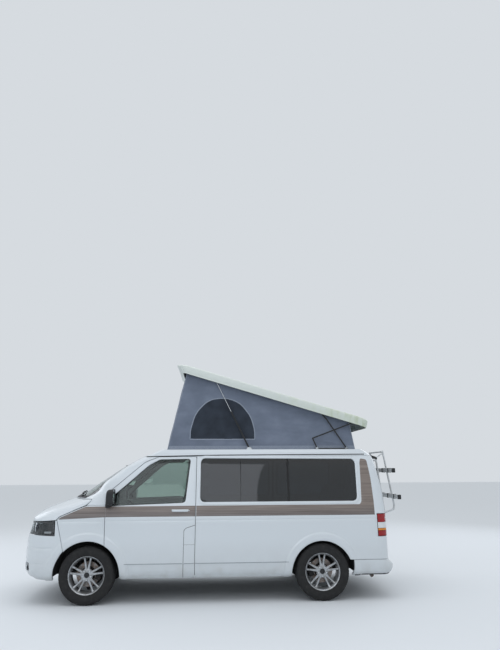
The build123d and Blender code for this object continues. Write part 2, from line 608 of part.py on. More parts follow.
# Cab and living space
DASH = [(1255, 915, 40), (1290, 1090, 70), (1490, 1135, 60), (1520, 1135, 0), (1520, 870, 0), (1330, 870, 60)]
dash = side_prism(DASH, -815, 815) + block((1180, -110, 720), (1500, 110, 900))
save("dashboard", dash)
SEAT_CUSHION = [(430, 700, 30), (415, 830, 50), (980, 850, 60), (985, 715, 45)]
SEAT_BACK = [(420, 790, 40), (300, 1420, 55), (395, 1440, 50), (540, 840, 40)]
HEADREST = [(292, 1440, 35), (285, 1625, 40), (370, 1640, 40), (385, 1440, 30)]
BENCH_CUSHION = [(-1640, 700, 30), (-1640, 850, 40), (-1030, 870, 60), (-1030, 720, 45)]
BENCH_BACK = [(-1640, 800, 30), (-1790, 1400, 60), (-1690, 1420, 50), (-1500, 850, 40)]
seats = []
for y in (400, -400):
    seat = block((480, y - 200, FLOOR_TOP), (930, y + 200, 720)) + side_prism(SEAT_CUSHION, y - 245, y + 245)
    seat = seat + side_prism(SEAT_BACK, y - 235, y + 235) + side_prism(HEADREST, y - 130, y + 130)
    seats += solids_of(seat + block((335, y - 60, 1390), (365, y + 60, 1470)))
bench = block((-1620, -540, FLOOR_TOP), (-1080, 440, 720)) + side_prism(BENCH_CUSHION, -560, 460)
seats += solids_of(bench + side_prism(BENCH_BACK, -560, 460))
save("seats", Compound(children=seats))
kitchen = block((-860, 490, FLOOR_TOP), (150, 878, 1130))
save("kitchen_unit", kitchen)

# Steering wheel on its column, square to a raked axis
STEER_TILT = 40
hub = Pos(1130, 400, 1090) * Rot(0, -STEER_TILT, 0)
rim_ring = Torus(188, 15)
spokes = Box(350, 34, 14) + Pos(-90, 0, 0) * Box(180, 34, 14) + Rot(0, 0, 90) * Box(350, 34, 14)
column = Pos(0, 0, -62) * Cylinder(26, 130) + Pos(0, 0, 4) * Cylinder(58, 34)
save("steering_wheel", hub * (rim_ring + spokes + column))

# Knuckles with their discs and struts
knuckle = rod((FRONT_AXLE_X, 700, HUB_Z), (FRONT_AXLE_X, 838, HUB_Z), 30) + block((1622, 726, 195), (1682, 762, 500))
knuckle = knuckle + wheel_cylinder(FRONT_AXLE_X, HUB_Z, 150, 762, 784) + block((1622, 640, 430), (1682, 740, 500))
knuckle = knuckle + rod((FRONT_AXLE_X, 655, 400), (FRONT_AXLE_X, 655, 740), 32)
save("knuckle_left", knuckle)
save("knuckle_right", other_side(knuckle))

# Wheels: radius and distance out from the wheel's middle plane. The tyres are made of flat facets.
TYRE_FACETS = 84
TYRE_SECTION = [
    (272, -TYRE_HALF_WIDTH), (334, -108), (TYRE_RADIUS, -88), (TYRE_RADIUS, 88),
    (334, 108), (272, TYRE_HALF_WIDTH), (BEAD_RADIUS, 86), (BEAD_RADIUS, -86),
]


def facet_ring(radius, out):
    """Corners of a regular outline round a wheel's axis, whose flats lie at a radius."""
    reach = radius / math.cos(math.pi / TYRE_FACETS)
    corners = []
    for corner in range(TYRE_FACETS):
        angle = math.radians((corner + 0.5) * 360 / TYRE_FACETS - 90)
        corners.append(Vector(reach * math.cos(angle), out, reach * math.sin(angle)))
    return corners


def faceted_tyre():
    """A closed tyre of flat faces between the rings of its section."""
    rings = [facet_ring(radius, out) for radius, out in TYRE_SECTION]
    flats = []
    for ring, after in zip(rings, rings[1:] + rings[:1]):
        for corner in range(TYRE_FACETS):
            far = (corner + 1) % TYRE_FACETS
            edge = Polyline(ring[corner], ring[far], after[far], after[corner], close=True)
            flats.append(make_face(edge).face())
    return Solid(Shell(flats))


BARREL_SECTION = [
    (207, -97, 0), (FLANGE_RADIUS, -97, 0), (BEAD_RADIUS, -87, 0), (BEAD_RADIUS, 87, 0),
    (FLANGE_RADIUS, 97, 0), (207, 97, 0),
]
SPOKE_ROOT = 50
SPOKE_TIP = 209
HUB_HOLE = 33
for axle, axle_x in (("front", FRONT_AXLE_X), ("rear", REAR_AXLE_X)):
    for side_name, side_sign in (("left", 1), ("right", -1)):
        turn = Pos(axle_x, side_sign * HALF_TRACK, HUB_Z) * Rot(0, 0, 0 if side_sign > 0 else 180)
        tyre = faceted_tyre()
        barrel = revolve(Plane.XY * outline(BARREL_SECTION), Axis.Y)
        disc_plane = Plane(origin=(0, 30, 0), x_dir=(1, 0, 0), z_dir=(0, 1, 0))
        rim = barrel + extrude(disc_plane * Circle(76), amount=38)
        for pair in range(5):
            for lean in (-11, 11):
                angle = pair * 72 + 90 + lean
                spoke_rows = [(SPOKE_ROOT, -14, 0), (SPOKE_TIP, -9, 0), (SPOKE_TIP, 9, 0), (SPOKE_ROOT, 14, 0)]
                spoke = extrude(disc_plane * Rot(0, 0, angle) * outline(spoke_rows), amount=34)
                rim = rim + spoke
        rim = rim - extrude(disc_plane * Pos(0, 0, -5) * Circle(HUB_HOLE), amount=30)
        save("tyre_" + axle + "_" + side_name, turn * tyre)
        save("rim_" + axle + "_" + side_name, turn * rim)
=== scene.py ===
import bmesh
import bpy
import math
import numpy as np
from mathutils import Matrix, Vector
from mathutils.geometry import delaunay_2d_cdt


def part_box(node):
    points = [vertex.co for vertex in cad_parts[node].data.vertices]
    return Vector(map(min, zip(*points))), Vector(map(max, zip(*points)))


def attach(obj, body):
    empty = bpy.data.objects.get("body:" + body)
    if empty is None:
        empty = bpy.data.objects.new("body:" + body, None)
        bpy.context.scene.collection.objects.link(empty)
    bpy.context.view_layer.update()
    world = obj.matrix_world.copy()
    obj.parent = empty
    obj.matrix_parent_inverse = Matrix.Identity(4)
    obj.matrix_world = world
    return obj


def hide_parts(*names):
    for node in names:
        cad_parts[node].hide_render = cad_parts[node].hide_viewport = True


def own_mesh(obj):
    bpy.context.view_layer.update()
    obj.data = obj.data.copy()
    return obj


# A camper van with its pop-top raised. The metal panels are drawn on one smooth body form, in millimetres,
# and set into the frame in metres.

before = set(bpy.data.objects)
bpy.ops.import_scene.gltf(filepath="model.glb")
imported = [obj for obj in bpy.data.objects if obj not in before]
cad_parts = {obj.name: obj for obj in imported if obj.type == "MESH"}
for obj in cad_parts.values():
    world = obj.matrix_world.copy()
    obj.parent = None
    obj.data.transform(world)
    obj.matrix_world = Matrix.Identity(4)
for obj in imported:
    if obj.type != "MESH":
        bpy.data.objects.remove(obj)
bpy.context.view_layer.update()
MM = 0.001

# Driving sizes, taken from the frame in millimetres
def mm_box(node):
    """A node's lowest and highest corner in millimetres."""
    low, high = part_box(node)
    return [v / MM for v in low], [v / MM for v in high]


TYRE_LOW, TYRE_HIGH = mm_box("tyre_front_left")
REAR_LOW, REAR_HIGH = mm_box("tyre_rear_left")
FRONT_AXLE_X = (TYRE_LOW[0] + TYRE_HIGH[0]) / 2
REAR_AXLE_X = (REAR_LOW[0] + REAR_HIGH[0]) / 2
TYRE_RADIUS = TYRE_HIGH[2] / 2
HUB_Z = TYRE_RADIUS
HALF_TRACK = (TYRE_LOW[1] + TYRE_HIGH[1]) / 2
FRONT_ARCH = (1657, 335, 416)
REAR_ARCH = (-1347, 322, 400)
FLARE = 108
SILL_Z = 290
LEDGE_Z = 1888
SPLIT_Z = 1800
BUMPER_TOP_Z = 487
PANEL_DEPTH = 36
HALF_GAP = 3

# The body's waterlines: z, half width, then x, set-back and corner radius of the nose and of the tail
WATERLINES = [
    (290, 858, 2535, 230, 300, -2325, 85, 120),
    (345, 915, 2575, 185, 330, -2352, 75, 130),
    (410, 932, 2597.2, 165, 340, -2368, 72, 140),
    (487, 941, 2602.2, 165, 350, -2294, 65, 110),
    (720, 950, 2600, 165, 350, -2292, 65, 110),
    (1003, 950, 2558, 180, 350, -2290, 65, 110),
    (1035, 946, 2585, 233, 350, -2289, 65, 110),
    (1110, 934, 2556, 361, 340, -2288, 65, 110),
    (1190, 922, 2500, 615, 250, -2285, 65, 110),
    (1262, 911, 2405, 765, 150, -2280, 65, 105),
    (1340, 901, 2215, 685, 130, -2271, 64, 103),
    (1500, 880, 1800, 375, 110, -2243, 60, 100),
    (1680, 850, 1478, 292, 95, -2201, 56, 95),
    (1800, 815, 1190, 210, 85, -2160, 52, 90),
    (1845, 801, 1040, 150, 80, -2099, 48, 85),
    (1888, 782, 885, 95, 70, -2032, 42, 80),
]
LEVEL_STEP = 4
SAMPLES = 420


def smooth_rows(rows, heights):
    """Every column of a table at many heights, through the table's rows and without overshoot."""
    table = np.array(rows, float)
    z = table[:, 0]
    out = []
    for column in table[:, 1:].T:
        step = np.diff(z)
        rise = np.diff(column) / step
        slope = np.zeros_like(column)
        slope[0], slope[-1] = rise[0], rise[-1]
        for k in range(1, len(z) - 1):
            if rise[k - 1] * rise[k] > 0:
                w1, w2 = 2 * step[k] + step[k - 1], step[k] + 2 * step[k - 1]
                slope[k] = (w1 + w2) / (w1 / rise[k - 1] + w2 / rise[k])
        place = np.clip(np.searchsorted(z, heights, side="right") - 1, 0, len(z) - 2)
        t = (heights - z[place]) / step[place]
        h00, h10 = 2 * t**3 - 3 * t**2 + 1, t**3 - 2 * t**2 + t
        h01, h11 = 3 * t**2 - 2 * t**3, t**3 - t**2
        out.append(h00 * column[place] + h10 * step[place] * slope[place]
                   + h01 * column[place + 1] + h11 * step[place] * slope[place + 1])
    return np.array(out).T


def round_corner(before, here, after, radius, room):
    """A corner's arc: its start, end, centre and radius, and how much of each side it takes."""
    a = np.subtract(before, here)
    b = np.subtract(after, here)
    a, b = a / np.hypot(*a), b / np.hypot(*b)
    half = math.acos(max(-1, min(1, float(a @ b)))) / 2
    reach = room if radius is None else min(radius / math.tan(half), room)
    r = reach * math.tan(half)
    start, end = here + a * reach, here + b * reach
    middle = a + b
    centre = here + middle / np.hypot(*middle) * (r / math.sin(half))
    return start, end, centre, r, reach


def arc_points(start, end, centre, count):
    """Points along the shorter arc between two points about a centre."""
    a0 = math.atan2(*(start - centre)[::-1])
    a1 = math.atan2(*(end - centre)[::-1])
    sweep = (a1 - a0 + math.pi) % (2 * math.pi) - math.pi
    r = np.hypot(*(start - centre))
    angles = a0 + sweep * np.linspace(0, 1, count)
    return centre + r * np.column_stack([np.cos(angles), np.sin(angles)])


def half_waterline(values):
    """The left half of one waterline, from the middle of the nose to the middle of the tail."""
    half, nose, nose_set, nose_r, tail, tail_set, tail_r = values
    nose_tip, nose_side = np.array([nose, 0.0]), np.array([nose - nose_set, half])
    tail_side, tail_tip = np.array([tail + tail_set, half]), np.array([tail, 0.0])
    nose_edge, tail_edge = np.hypot(*(nose_side - nose_tip)), np.hypot(*(tail_side - tail_tip))
    s1, e1, c1, _, used1 = round_corner(nose_tip, nose_side, tail_side, nose_r, 0.96 * nose_edge)
    s2, e2, c2, _, used2 = round_corner(nose_side, tail_side, tail_tip, tail_r, 0.96 * tail_edge)
    mirror = np.array([1.0, -1.0])
    _, e0, c0, _, _ = round_corner(nose_side * mirror, nose_tip, nose_side, None, 0.96 * (nose_edge - used1))
    s3, _, c3, _, _ = round_corner(tail_side, tail_tip, tail_side * mirror, None, 0.96 * (tail_edge - used2))
    front = arc_points(e0 * mirror, e0, c0, 61)[30:]
    back = arc_points(s3, s3 * mirror, c3, 61)[:31]
    line = np.vstack([front, arc_points(s1, e1, c1, 31), arc_points(s2, e2, c2, 25), back])
    keep = np.r_[True, np.hypot(*np.diff(line, axis=0).T) > 1e-6]
    return line[keep]


LEVELS = np.arange(SILL_Z, LEDGE_Z + LEVEL_STEP, LEVEL_STEP, dtype=float)
LEVELS[-1] = LEDGE_Z
ROWS = smooth_rows(WATERLINES, LEVELS)
FORM = np.zeros((len(LEVELS), SAMPLES, 2))
for k, values in enumerate(ROWS):
    line = half_waterline(values)
    run = np.r_[0, np.cumsum(np.hypot(*np.diff(line, axis=0).T))]
    at = np.linspace(0, run[-1], SAMPLES)
    FORM[k] = np.column_stack([np.interp(at, run, line[:, 0]), np.interp(at, run, line[:, 1])])


def body_point(share, z):
    """Points of the form. share is 0 at the nose's middle, 1 at the tail's by the left, -1 by the right."""
    share, z = np.asarray(share, float), np.clip(np.asarray(z, float), SILL_Z, LEDGE_Z)
    row = np.clip((z - SILL_Z) / LEVEL_STEP, 0, len(LEVELS) - 1.0001)
    k = row.astype(int)
    span = LEVELS[np.minimum(k + 1, len(LEVELS) - 1)] - LEVELS[k]
    t = np.where(span > 0, (z - LEVELS[k]) / np.where(span > 0, span, 1), 0)[..., None]
    column = np.clip(np.abs(share), 0, 1) * (SAMPLES - 1.0001)
    c = column.astype(int)
    u = (column - c)[..., None]
    low = FORM[k, c] * (1 - u) + FORM[k, c + 1] * u
    k1 = np.minimum(k + 1, len(LEVELS) - 1)
    high = FORM[k1, c] * (1 - u) + FORM[k1, c + 1] * u
    flat = low * (1 - t) + high * t
    return np.column_stack([flat[..., 0], flat[..., 1] * np.where(share < 0, -1, 1), z])


def share_from(value, z, axis, sign=1, rear=False):
    """The share along the waterline at which x (axis 0) or y (axis 1) takes a value."""
    row = np.clip((z - SILL_Z) / LEVEL_STEP, 0, len(LEVELS) - 1.0001)
    k = int(row)
    k1 = min(k + 1, len(LEVELS) - 1)
    t = (z - LEVELS[k]) / max(LEVELS[k1] - LEVELS[k], 1e-9)
    line = FORM[k] * (1 - t) + FORM[k1] * t
    shares = np.linspace(0, 1, SAMPLES)
    if axis == 0:
        return sign * float(np.interp(-value, -line[:, 0], shares))
    middle = SAMPLES // 2
    if rear:
        found = np.interp(-abs(value), -line[middle:, 1], shares[middle:])
    else:
        found = np.interp(abs(value), line[:middle, 1], shares[:middle])
    return float(found) * (1 if value >= 0 else -1)


def normal_at(share, z):
    """Outward normals of the body form, by small steps."""
    share, z = np.asarray(share, float), np.asarray(z, float)
    ds, dz = 0.002, 3.0
    z = np.clip(z, SILL_Z + dz, LEDGE_Z - dz)
    along = body_point(share + ds, z) - body_point(share - ds, z)
    near = np.abs(share) < 2 * ds
    along[near] = np.column_stack([np.zeros(near.sum()), np.ones(near.sum()), np.zeros(near.sum())])
    up = body_point(share, np.clip(z + dz, SILL_Z, LEDGE_Z)) - body_point(share,
                                                                          np.clip(z - dz, SILL_Z, LEDGE_Z))
    out = np.cross(along, up)
    return out / np.linalg.norm(out, axis=1)[:, None]


# Relief on the skin: the arch flares, the shoulder crease, the step above the sill and its lower lip
def ease(value, low, high):
    """0 below low, 1 above high, and a smooth rise between them."""
    t = np.clip((np.asarray(value, float) - low) / (high - low), 0, 1)
    return t * t * (3 - 2 * t)


def relief(points):
    """How far the skin stands out from the body form at each point, in millimetres."""
    x, y, z = points.T
    side = ease(np.abs(y), 780, 840)
    out = np.zeros(len(points))
    for arch_x, arch_z, radius in (FRONT_ARCH, REAR_ARCH):
        away = np.hypot(x - arch_x, z - arch_z) - radius
        out = np.maximum(out, 9 * ease(-away, -FLARE, -FLARE + 26) * (1 - 0.5 * ease(-away, -30, 2)))
    lower = (1 - ease(z, 462, 472)) * ease(x, -960, -930) * (1 - ease(x, 1180, 1230))
    plain = np.clip(1 - out / 4, 0, 1)
    out = out - 7 * lower * plain + 8 * lower * plain * (1 - ease(z, 296, 330))
    shoulder = ease(z, 975, 990) * (1 - ease(z, 990, 1004)) * (1 - ease(x, 2040, 2075))
    nose = ease(x, 2020, 2090)
    fold = ease(z, 662, 673) * (1 - ease(z, 673, 686)) + 0.8 * ease(z, 478, 489) * (1 - ease(z, 489, 502))
    plate_pocket = (1 - ease(np.abs(y), 264, 284)) * ease(z, 628, 637) * (1 - ease(z, 763, 772)) * (x > 2300)
    return (out - 3.5 * shoulder) * side - 5 * nose * fold - plate_pocket * np.maximum(0, x - 2529)


def skin_point(share, z, lift=0.0):
    """Points on the skin with its relief, or a set distance outside it, and the outward normals."""
    share, z = np.asarray(share, float), np.asarray(z, float)
    points = body_point(share, z)
    out = normal_at(share, z)
    return points + out * (relief(points) + lift)[:, None], out


# Outlines: rows of x, z and corner radius for a side, or y, z and radius for an end
def trace(rows, closed=True, step=16):
    """A line through rows with its corners rounded, as close points."""
    rows = [tuple(row) + (0,) * (3 - len(row)) for row in rows]
    count = len(rows)
    points = []
    for i, (u, v, radius) in enumerate(rows):
        here = np.array([u, v], float)
        if radius == 0 or (not closed and i in (0, count - 1)):
            points.append(here[None])
            continue
        before, after = np.array(rows[i - 1][:2], float), np.array(rows[(i + 1) % count][:2], float)
        room = 0.48 * min(np.hypot(*(before - here)), np.hypot(*(after - here)))
        start, end, centre, r, _ = round_corner(before, here, after, radius, room)
        turns = max(4, int(r / 12))
        points.append(arc_points(start, end, centre, min(turns, 24)))
    line = np.vstack(points)
    if closed:
        line = np.vstack([line, line[:1]])
    dense = []
    for a, b in zip(line, line[1:]):
        parts = max(1, int(math.ceil(np.hypot(*(b - a)) / step)))
        dense.append(a + (b - a) * np.linspace(0, 1, parts, endpoint=False)[:, None])
    if not closed:
        dense.append(line[-1:])
    dense = np.vstack(dense)
    keep = np.r_[True, np.hypot(*np.diff(dense, axis=0).T) > 0.2]
    return dense[keep]


def on_side(line):
    """A side outline's points as shares and heights. Points ahead of the nose are cut off at its middle."""
    chart = np.array([(share_from(x, z, 0), z) for x, z in line])
    keep = np.ones(len(chart), bool)
    for i in range(1, len(chart)):
        keep[i] = not (abs(chart[i, 0]) < 1e-4 and abs(chart[i - 1, 0]) < 1e-4)
    return chart[keep]


def on_end(line, rear):
    """An end outline's points as shares and heights."""
    return np.array([(share_from(y, z, 1, rear=rear), z) for y, z in line])


def across(left_chain):
    """A symmetric loop from its left half, which starts and ends at the nose's middle."""
    mirrored = left_chain[::-1] * np.array([-1.0, 1.0])
    return tidy_loop(np.vstack([left_chain, mirrored]))


def across_tail(left_chain):
    """A symmetric loop from its left half, which starts and ends at the tail's middle, with shares past 1."""
    mirrored = left_chain[::-1].copy()
    mirrored[:, 0] = 2 - mirrored[:, 0]
    return tidy_loop(np.vstack([left_chain, mirrored]))


# One whole share, from the nose to the tail, is drawn this long on a flat sheet
SHARE_MM = 3400.0


def tidy_loop(loop):
    """A loop without points that repeat."""
    gap = np.hypot(*((loop - np.roll(loop, 1, axis=0)) * (SHARE_MM, 1)).T)
    return loop[gap > 0.5]


PROFILE_X = ROWS[:, 1]
PROFILE_RUN = np.r_[0, np.cumsum(np.hypot(np.diff(PROFILE_X) * 0.8, np.diff(LEVELS)))]


def to_flat(chart, stretched):
    """Shares and heights as millimetres on a flat sheet."""
    v = np.interp(chart[:, 1], LEVELS, PROFILE_RUN) if stretched else chart[:, 1]
    return np.column_stack([chart[:, 0] * SHARE_MM, v])


def from_flat(flat, stretched):
    """Millimetres on the flat sheet as shares and heights."""
    z = np.interp(flat[:, 1], PROFILE_RUN, LEVELS) if stretched else flat[:, 1]
    return np.column_stack([flat[:, 0] / SHARE_MM, z])


def wrapped(share):
    """Shares past 1 brought back round the tail's middle to the right side."""
    return np.where(share > 1, share - 2, np.where(share < -1, share + 2, share))


def is_inside(points, loop):
    """Which points lie inside a closed loop."""
    x, y = points[:, :1], points[:, 1:]
    x0, y0 = loop.T
    x1, y1 = np.roll(loop, -1, axis=0).T
    crosses = (y0 > y) != (y1 > y)
    with np.errstate(divide="ignore", invalid="ignore"):
        at = x0 + (y - y0) * (x1 - x0) / (y1 - y0)
    return (crosses & (x < at)).sum(axis=1) % 2 == 1


def is_within(points, loops):
    """Which points lie inside the first loop and outside the others."""
    keep = is_inside(points, loops[0])
    for hole in loops[1:]:
        keep &= ~is_inside(points, hole)
    return keep


def square_grid(us, vs):
    """Points of a grid, row by row."""
    return np.array(np.meshgrid(us, vs)).reshape(2, -1).T



def loop_area(loop):
    """A loop's area, above 0 where it runs anticlockwise."""
    x, y = loop.T
    return 0.5 * float(np.sum(x * np.roll(y, -1) - np.roll(x, -1) * y))


def inset_loop(loop, amount):
    """A loop moved inwards along its own corners' bisectors."""
    before, after = np.roll(loop, 1, axis=0), np.roll(loop, -1, axis=0)
    t0 = loop - before
    t1 = after - loop
    t0 /= np.maximum(np.hypot(*t0.T), 1e-9)[:, None]
    t1 /= np.maximum(np.hypot(*t1.T), 1e-9)[:, None]
    turn = 1 if loop_area(loop) > 0 else -1
    n0 = np.column_stack([-t0[:, 1], t0[:, 0]]) * turn
    n1 = np.column_stack([-t1[:, 1], t1[:, 0]]) * turn
    mean = n0 + n1
    size = np.maximum(np.hypot(*mean.T), 0.3)
    mean /= size[:, None]
    stretch = 1 / np.maximum((mean * n0).sum(axis=1), 0.5)
    return loop + mean * (amount * stretch)[:, None]


# Heights at which the skin has creases, and distances from an arch at which its flare turns
FEATURE_LEVELS = [
    296, 312, 330, 456, 462, 467, 472, 478, 489, 500, 628, 637, 664, 673, 682, 763, 773, 974, 982, 990, 997,
    1004,
]
FLARE_RINGS = [10, 26, 44, 62, 78, 88, 96, 104, 112]


def grid_points(loop, holes, spacing, stretched):
    """Points inside a flat outline, closer together where the skin has relief."""
    low, high = loop.min(axis=0), loop.max(axis=0)
    us = np.arange(low[0] + spacing * 0.4, high[0], spacing)
    vs = np.arange(low[1] + spacing * 0.4, high[1], spacing)
    if not stretched:
        features = np.array(FEATURE_LEVELS, float)
        vs = np.array([v for v in vs if np.abs(features - v).min() > 9])
        vs = np.sort(np.r_[vs, features[(features > low[1]) & (features < high[1])]])
    mesh = np.array([(u, v) for v in vs for u in us])
    if len(mesh) == 0:
        return mesh
    chart = from_flat(mesh, stretched)
    points = body_point(wrapped(chart[:, 0]), chart[:, 1])
    extra = []
    for arch_x, arch_z, radius in (FRONT_ARCH, REAR_ARCH):
        away = np.hypot(points[:, 0] - arch_x, points[:, 2] - arch_z) - radius
        near = (away < FLARE + 12) & (np.abs(points[:, 1]) > 700)
        if not near.any():
            continue
        mesh, points = mesh[~near], points[~near]
        sign = 1 if loop[:, 0].mean() > 0 else -1
        for ring in FLARE_RINGS:
            r = radius + ring
            for angle in np.arange(0, 2 * math.pi, 24 / r):
                x, z = arch_x + r * math.cos(angle), arch_z + r * math.sin(angle)
                if SILL_Z < z < 1000:
                    extra.append((share_from(x, z, 0, sign), z))
    if extra:
        mesh = np.vstack([mesh, to_flat(np.array(extra), stretched)])
    mesh = mesh[is_within(mesh, [loop] + holes)]
    for edge in [loop] + holes:
        gap = np.full(len(mesh), 1e9)
        for part in np.array_split(edge, max(1, len(edge) // 200)):
            gap = np.minimum(gap, np.hypot(mesh[:, :1] - part[:, 0], mesh[:, 1:] - part[:, 1]).min(axis=1))
        mesh = mesh[gap > 8]
    return mesh


# Degrees between two faces past which their edge stays sharp
SHARP_ANGLE = 32


def linked(name, data):
    """An object in the scene from a mesh, a lamp or a camera."""
    thing = bpy.data.objects.new(name, data)
    bpy.context.scene.collection.objects.link(thing)
    return thing


def smoothed(mesh, angle):
    """A mesh shaded smooth, with its edges sharp past an angle in degrees."""
    mesh.shade_smooth()
    mesh.set_sharp_from_angle(angle=math.radians(angle))


def new_object(name, points, faces, materials, marks=None):
    """An object from points in millimetres, with smooth faces and sharp edges."""
    mesh = bpy.data.meshes.new(name)
    mesh.from_pydata((np.asarray(points, float) * MM).tolist(), [], [tuple(map(int, f)) for f in faces])
    for material in materials if isinstance(materials, list) else [materials]:
        mesh.materials.append(material)
    if marks is not None:
        mesh.polygons.foreach_set("material_index", marks)
    mesh.validate()
    smoothed(mesh, SHARP_ANGLE)
    return linked(name, mesh)


def faced_out(thing, merge=False, loose=False):
    """Faces turned to look outwards, after double points are merged or loose ones dropped."""
    mesh = bmesh.new()
    mesh.from_mesh(thing.data)
    if merge:
        bmesh.ops.remove_doubles(mesh, verts=mesh.verts, dist=1e-6)
    if loose:
        bmesh.ops.delete(mesh, geom=[v for v in mesh.verts if not v.link_faces], context="VERTS")
    bmesh.ops.recalc_face_normals(mesh, faces=mesh.faces)
    mesh.to_mesh(thing.data)
    mesh.free()
    return thing


def outward(thing, angle=SHARP_ANGLE, loose=False):
    """Faces turned to look outwards, shaded smooth between sharp edges."""
    smoothed(faced_out(thing, loose=loose).data, angle)
    return thing


def filled(loops, inner_points):
    """Triangles in the first loop and outside the others, and where each loop point went."""
    verts = [Vector(p) for edge in loops for p in edge] + [Vector(p) for p in inner_points]
    edges = []
    for edge in loops:
        start = len(edges)
        edges += [(start + i, start + (i + 1) % len(edge)) for i in range(len(edge))]
    found = delaunay_2d_cdt(verts, edges, [], 1, 1e-6)
    flat = np.array([tuple(v) for v in found[0]])
    faces = np.array(found[2])
    faces = faces[is_within(flat[faces].mean(axis=1), loops)]
    place = {old: new for new, olds in enumerate(found[3]) for old in olds if old < len(edges)}
    return flat, faces, place


def skin_panel(name, loop, materials, holes=(), depth=PANEL_DEPTH, lift=0.0, roll=3.0, spacing=30,
               stretched=False):
    """A closed panel on the body form: its outer skin with rolled edges, its rim, and its lining."""
    flat_loops = [to_flat(tidy_loop(np.asarray(edge, float)), stretched) for edge in [loop] + list(holes)]
    outer, openings = flat_loops[0], flat_loops[1:]
    rolled = [inset_loop(outer, roll)] + [inset_loop(edge, -roll) for edge in openings]
    flat, faces, place = filled(rolled, grid_points(rolled[0], rolled[1:], spacing, stretched))
    a, b, c = flat[faces[:, 0]], flat[faces[:, 1]], flat[faces[:, 2]]
    turn = (b[:, 0] - a[:, 0]) * (c[:, 1] - a[:, 1]) - (b[:, 1] - a[:, 1]) * (c[:, 0] - a[:, 0])
    faces[turn > 0] = faces[turn > 0][:, ::-1]
    chart = from_flat(flat, stretched)
    share = wrapped(chart[:, 0])
    skin, out = skin_point(share, chart[:, 1], lift)
    points = [skin, skin - out * depth]
    total = len(flat)
    quads = [tuple(f) for f in faces] + [tuple(total + i for i in f[::-1]) for f in faces]
    marks = [0] * len(faces) + [1] * len(faces)
    base = 2 * total
    start = 0
    for k, edge in enumerate([outer] + openings):
        count = len(edge)
        rim_chart = from_flat(edge, stretched)
        rim, rim_out = skin_point(wrapped(rim_chart[:, 0]), rim_chart[:, 1], lift)
        points += [rim - rim_out * min(roll * 0.8, depth * 0.4), rim - rim_out * depth]
        clockwise = loop_area(edge) < 0
        for i in range(count):
            j = (i + 1) % count
            if start + i not in place or start + j not in place:
                continue
            p, q = place[start + i], place[start + j]
            if p == q:
                continue
            strips = [(p, q, base + j, base + i), (base + i, base + j, base + count + j, base + count + i),
                      (base + count + i, base + count + j, total + q, total + p)]
            for n, strip in enumerate(strips):
                quads.append(strip if (clockwise != (k > 0)) else strip[::-1])
                marks.append(1 if n == 2 else 0)
        base += 2 * count
        start += count
    if not isinstance(materials, list):
        marks = [0] * len(marks)
    return outward(new_object(name, np.vstack(points), quads, materials, marks))


# Finishes
def tint(code):
    """An sRGB hex colour as linear values."""
    parts = [int(code[i:i + 2], 16) / 255 for i in (1, 3, 5)]
    return [p / 12.92 if p <= 0.04045 else ((p + 0.055) / 1.055) ** 2.4 for p in parts] + [1.0]


def add(tree, kind, settings=None, **links):
    """A node with its settings, values and links. A link is a socket, anything else is a value."""
    new = tree.nodes.new(kind)
    for key, value in (settings or {}).items():
        setattr(new, key, value)
    for key, value in links.items():
        name = key.replace("_", " ").strip()
        socket = new.inputs[int(name)] if name.isdigit() else new.inputs[name]
        if isinstance(value, bpy.types.NodeSocket):
            tree.links.new(value, socket)
        else:
            socket.default_value = value
    return new


def finish(name, colour, roughness, **sockets):
    """A named material with its shader's own values set, and its tree and shader."""
    material = bpy.data.materials.new(name)
    material.use_nodes = True
    tree = material.node_tree
    shader = tree.nodes["Principled BSDF"]
    shader.inputs["Base Color"].default_value = tint(colour)
    shader.inputs["Roughness"].default_value = roughness
    for key, value in sockets.items():
        shader.inputs[key.replace("_", " ")].default_value = value
    material.diffuse_color = tint(colour)
    return material, tree, shader


def place_mm(tree):
    """The object's own coordinates in millimetres, as a socket."""
    spot = add(tree, "ShaderNodeTexCoord").outputs["Object"]
    return add(tree, "ShaderNodeVectorMath", {"operation": "SCALE"}, Vector=spot, Scale=1000.0).outputs[0]


def mottle(tree, where, size_mm, detail=3.0, stretch=(1, 1, 1)):
    """Soft noise whose features are about a size in millimetres."""
    scaled = add(tree, "ShaderNodeVectorMath", {"operation": "MULTIPLY"}, _0=where,
                 _1=[v / size_mm for v in stretch]).outputs[0]
    return add(tree, "ShaderNodeTexNoise", Vector=scaled, Scale=1.0, Detail=detail).outputs["Fac"]


def ramp(tree, fac, *stops):
    """A colour ramp from positions and hex colours."""
    new = add(tree, "ShaderNodeValToRGB", Fac=fac)
    new.color_ramp.elements.remove(new.color_ramp.elements[1])
    for i, (at, colour) in enumerate(stops):
        stop = new.color_ramp.elements[0] if i == 0 else new.color_ramp.elements.new(at)
        stop.position = at
        stop.color = tint(colour)
    return new.outputs["Color"]


def rough_between(tree, shader, fac, low, high):
    """Roughness that follows a pattern between two values."""
    spread = add(tree, "ShaderNodeMapRange", Value=fac, To_Min=low, To_Max=high)
    tree.links.new(spread.outputs["Result"], shader.inputs["Roughness"])


def bumped(tree, shader, height, depth_mm, strength=1.0):
    """A bump from a pattern, with its depth in millimetres."""
    bump = add(tree, "ShaderNodeBump", Height=height, Strength=strength, Distance=depth_mm * MM)
    tree.links.new(bump.outputs["Normal"], shader.inputs["Normal"])


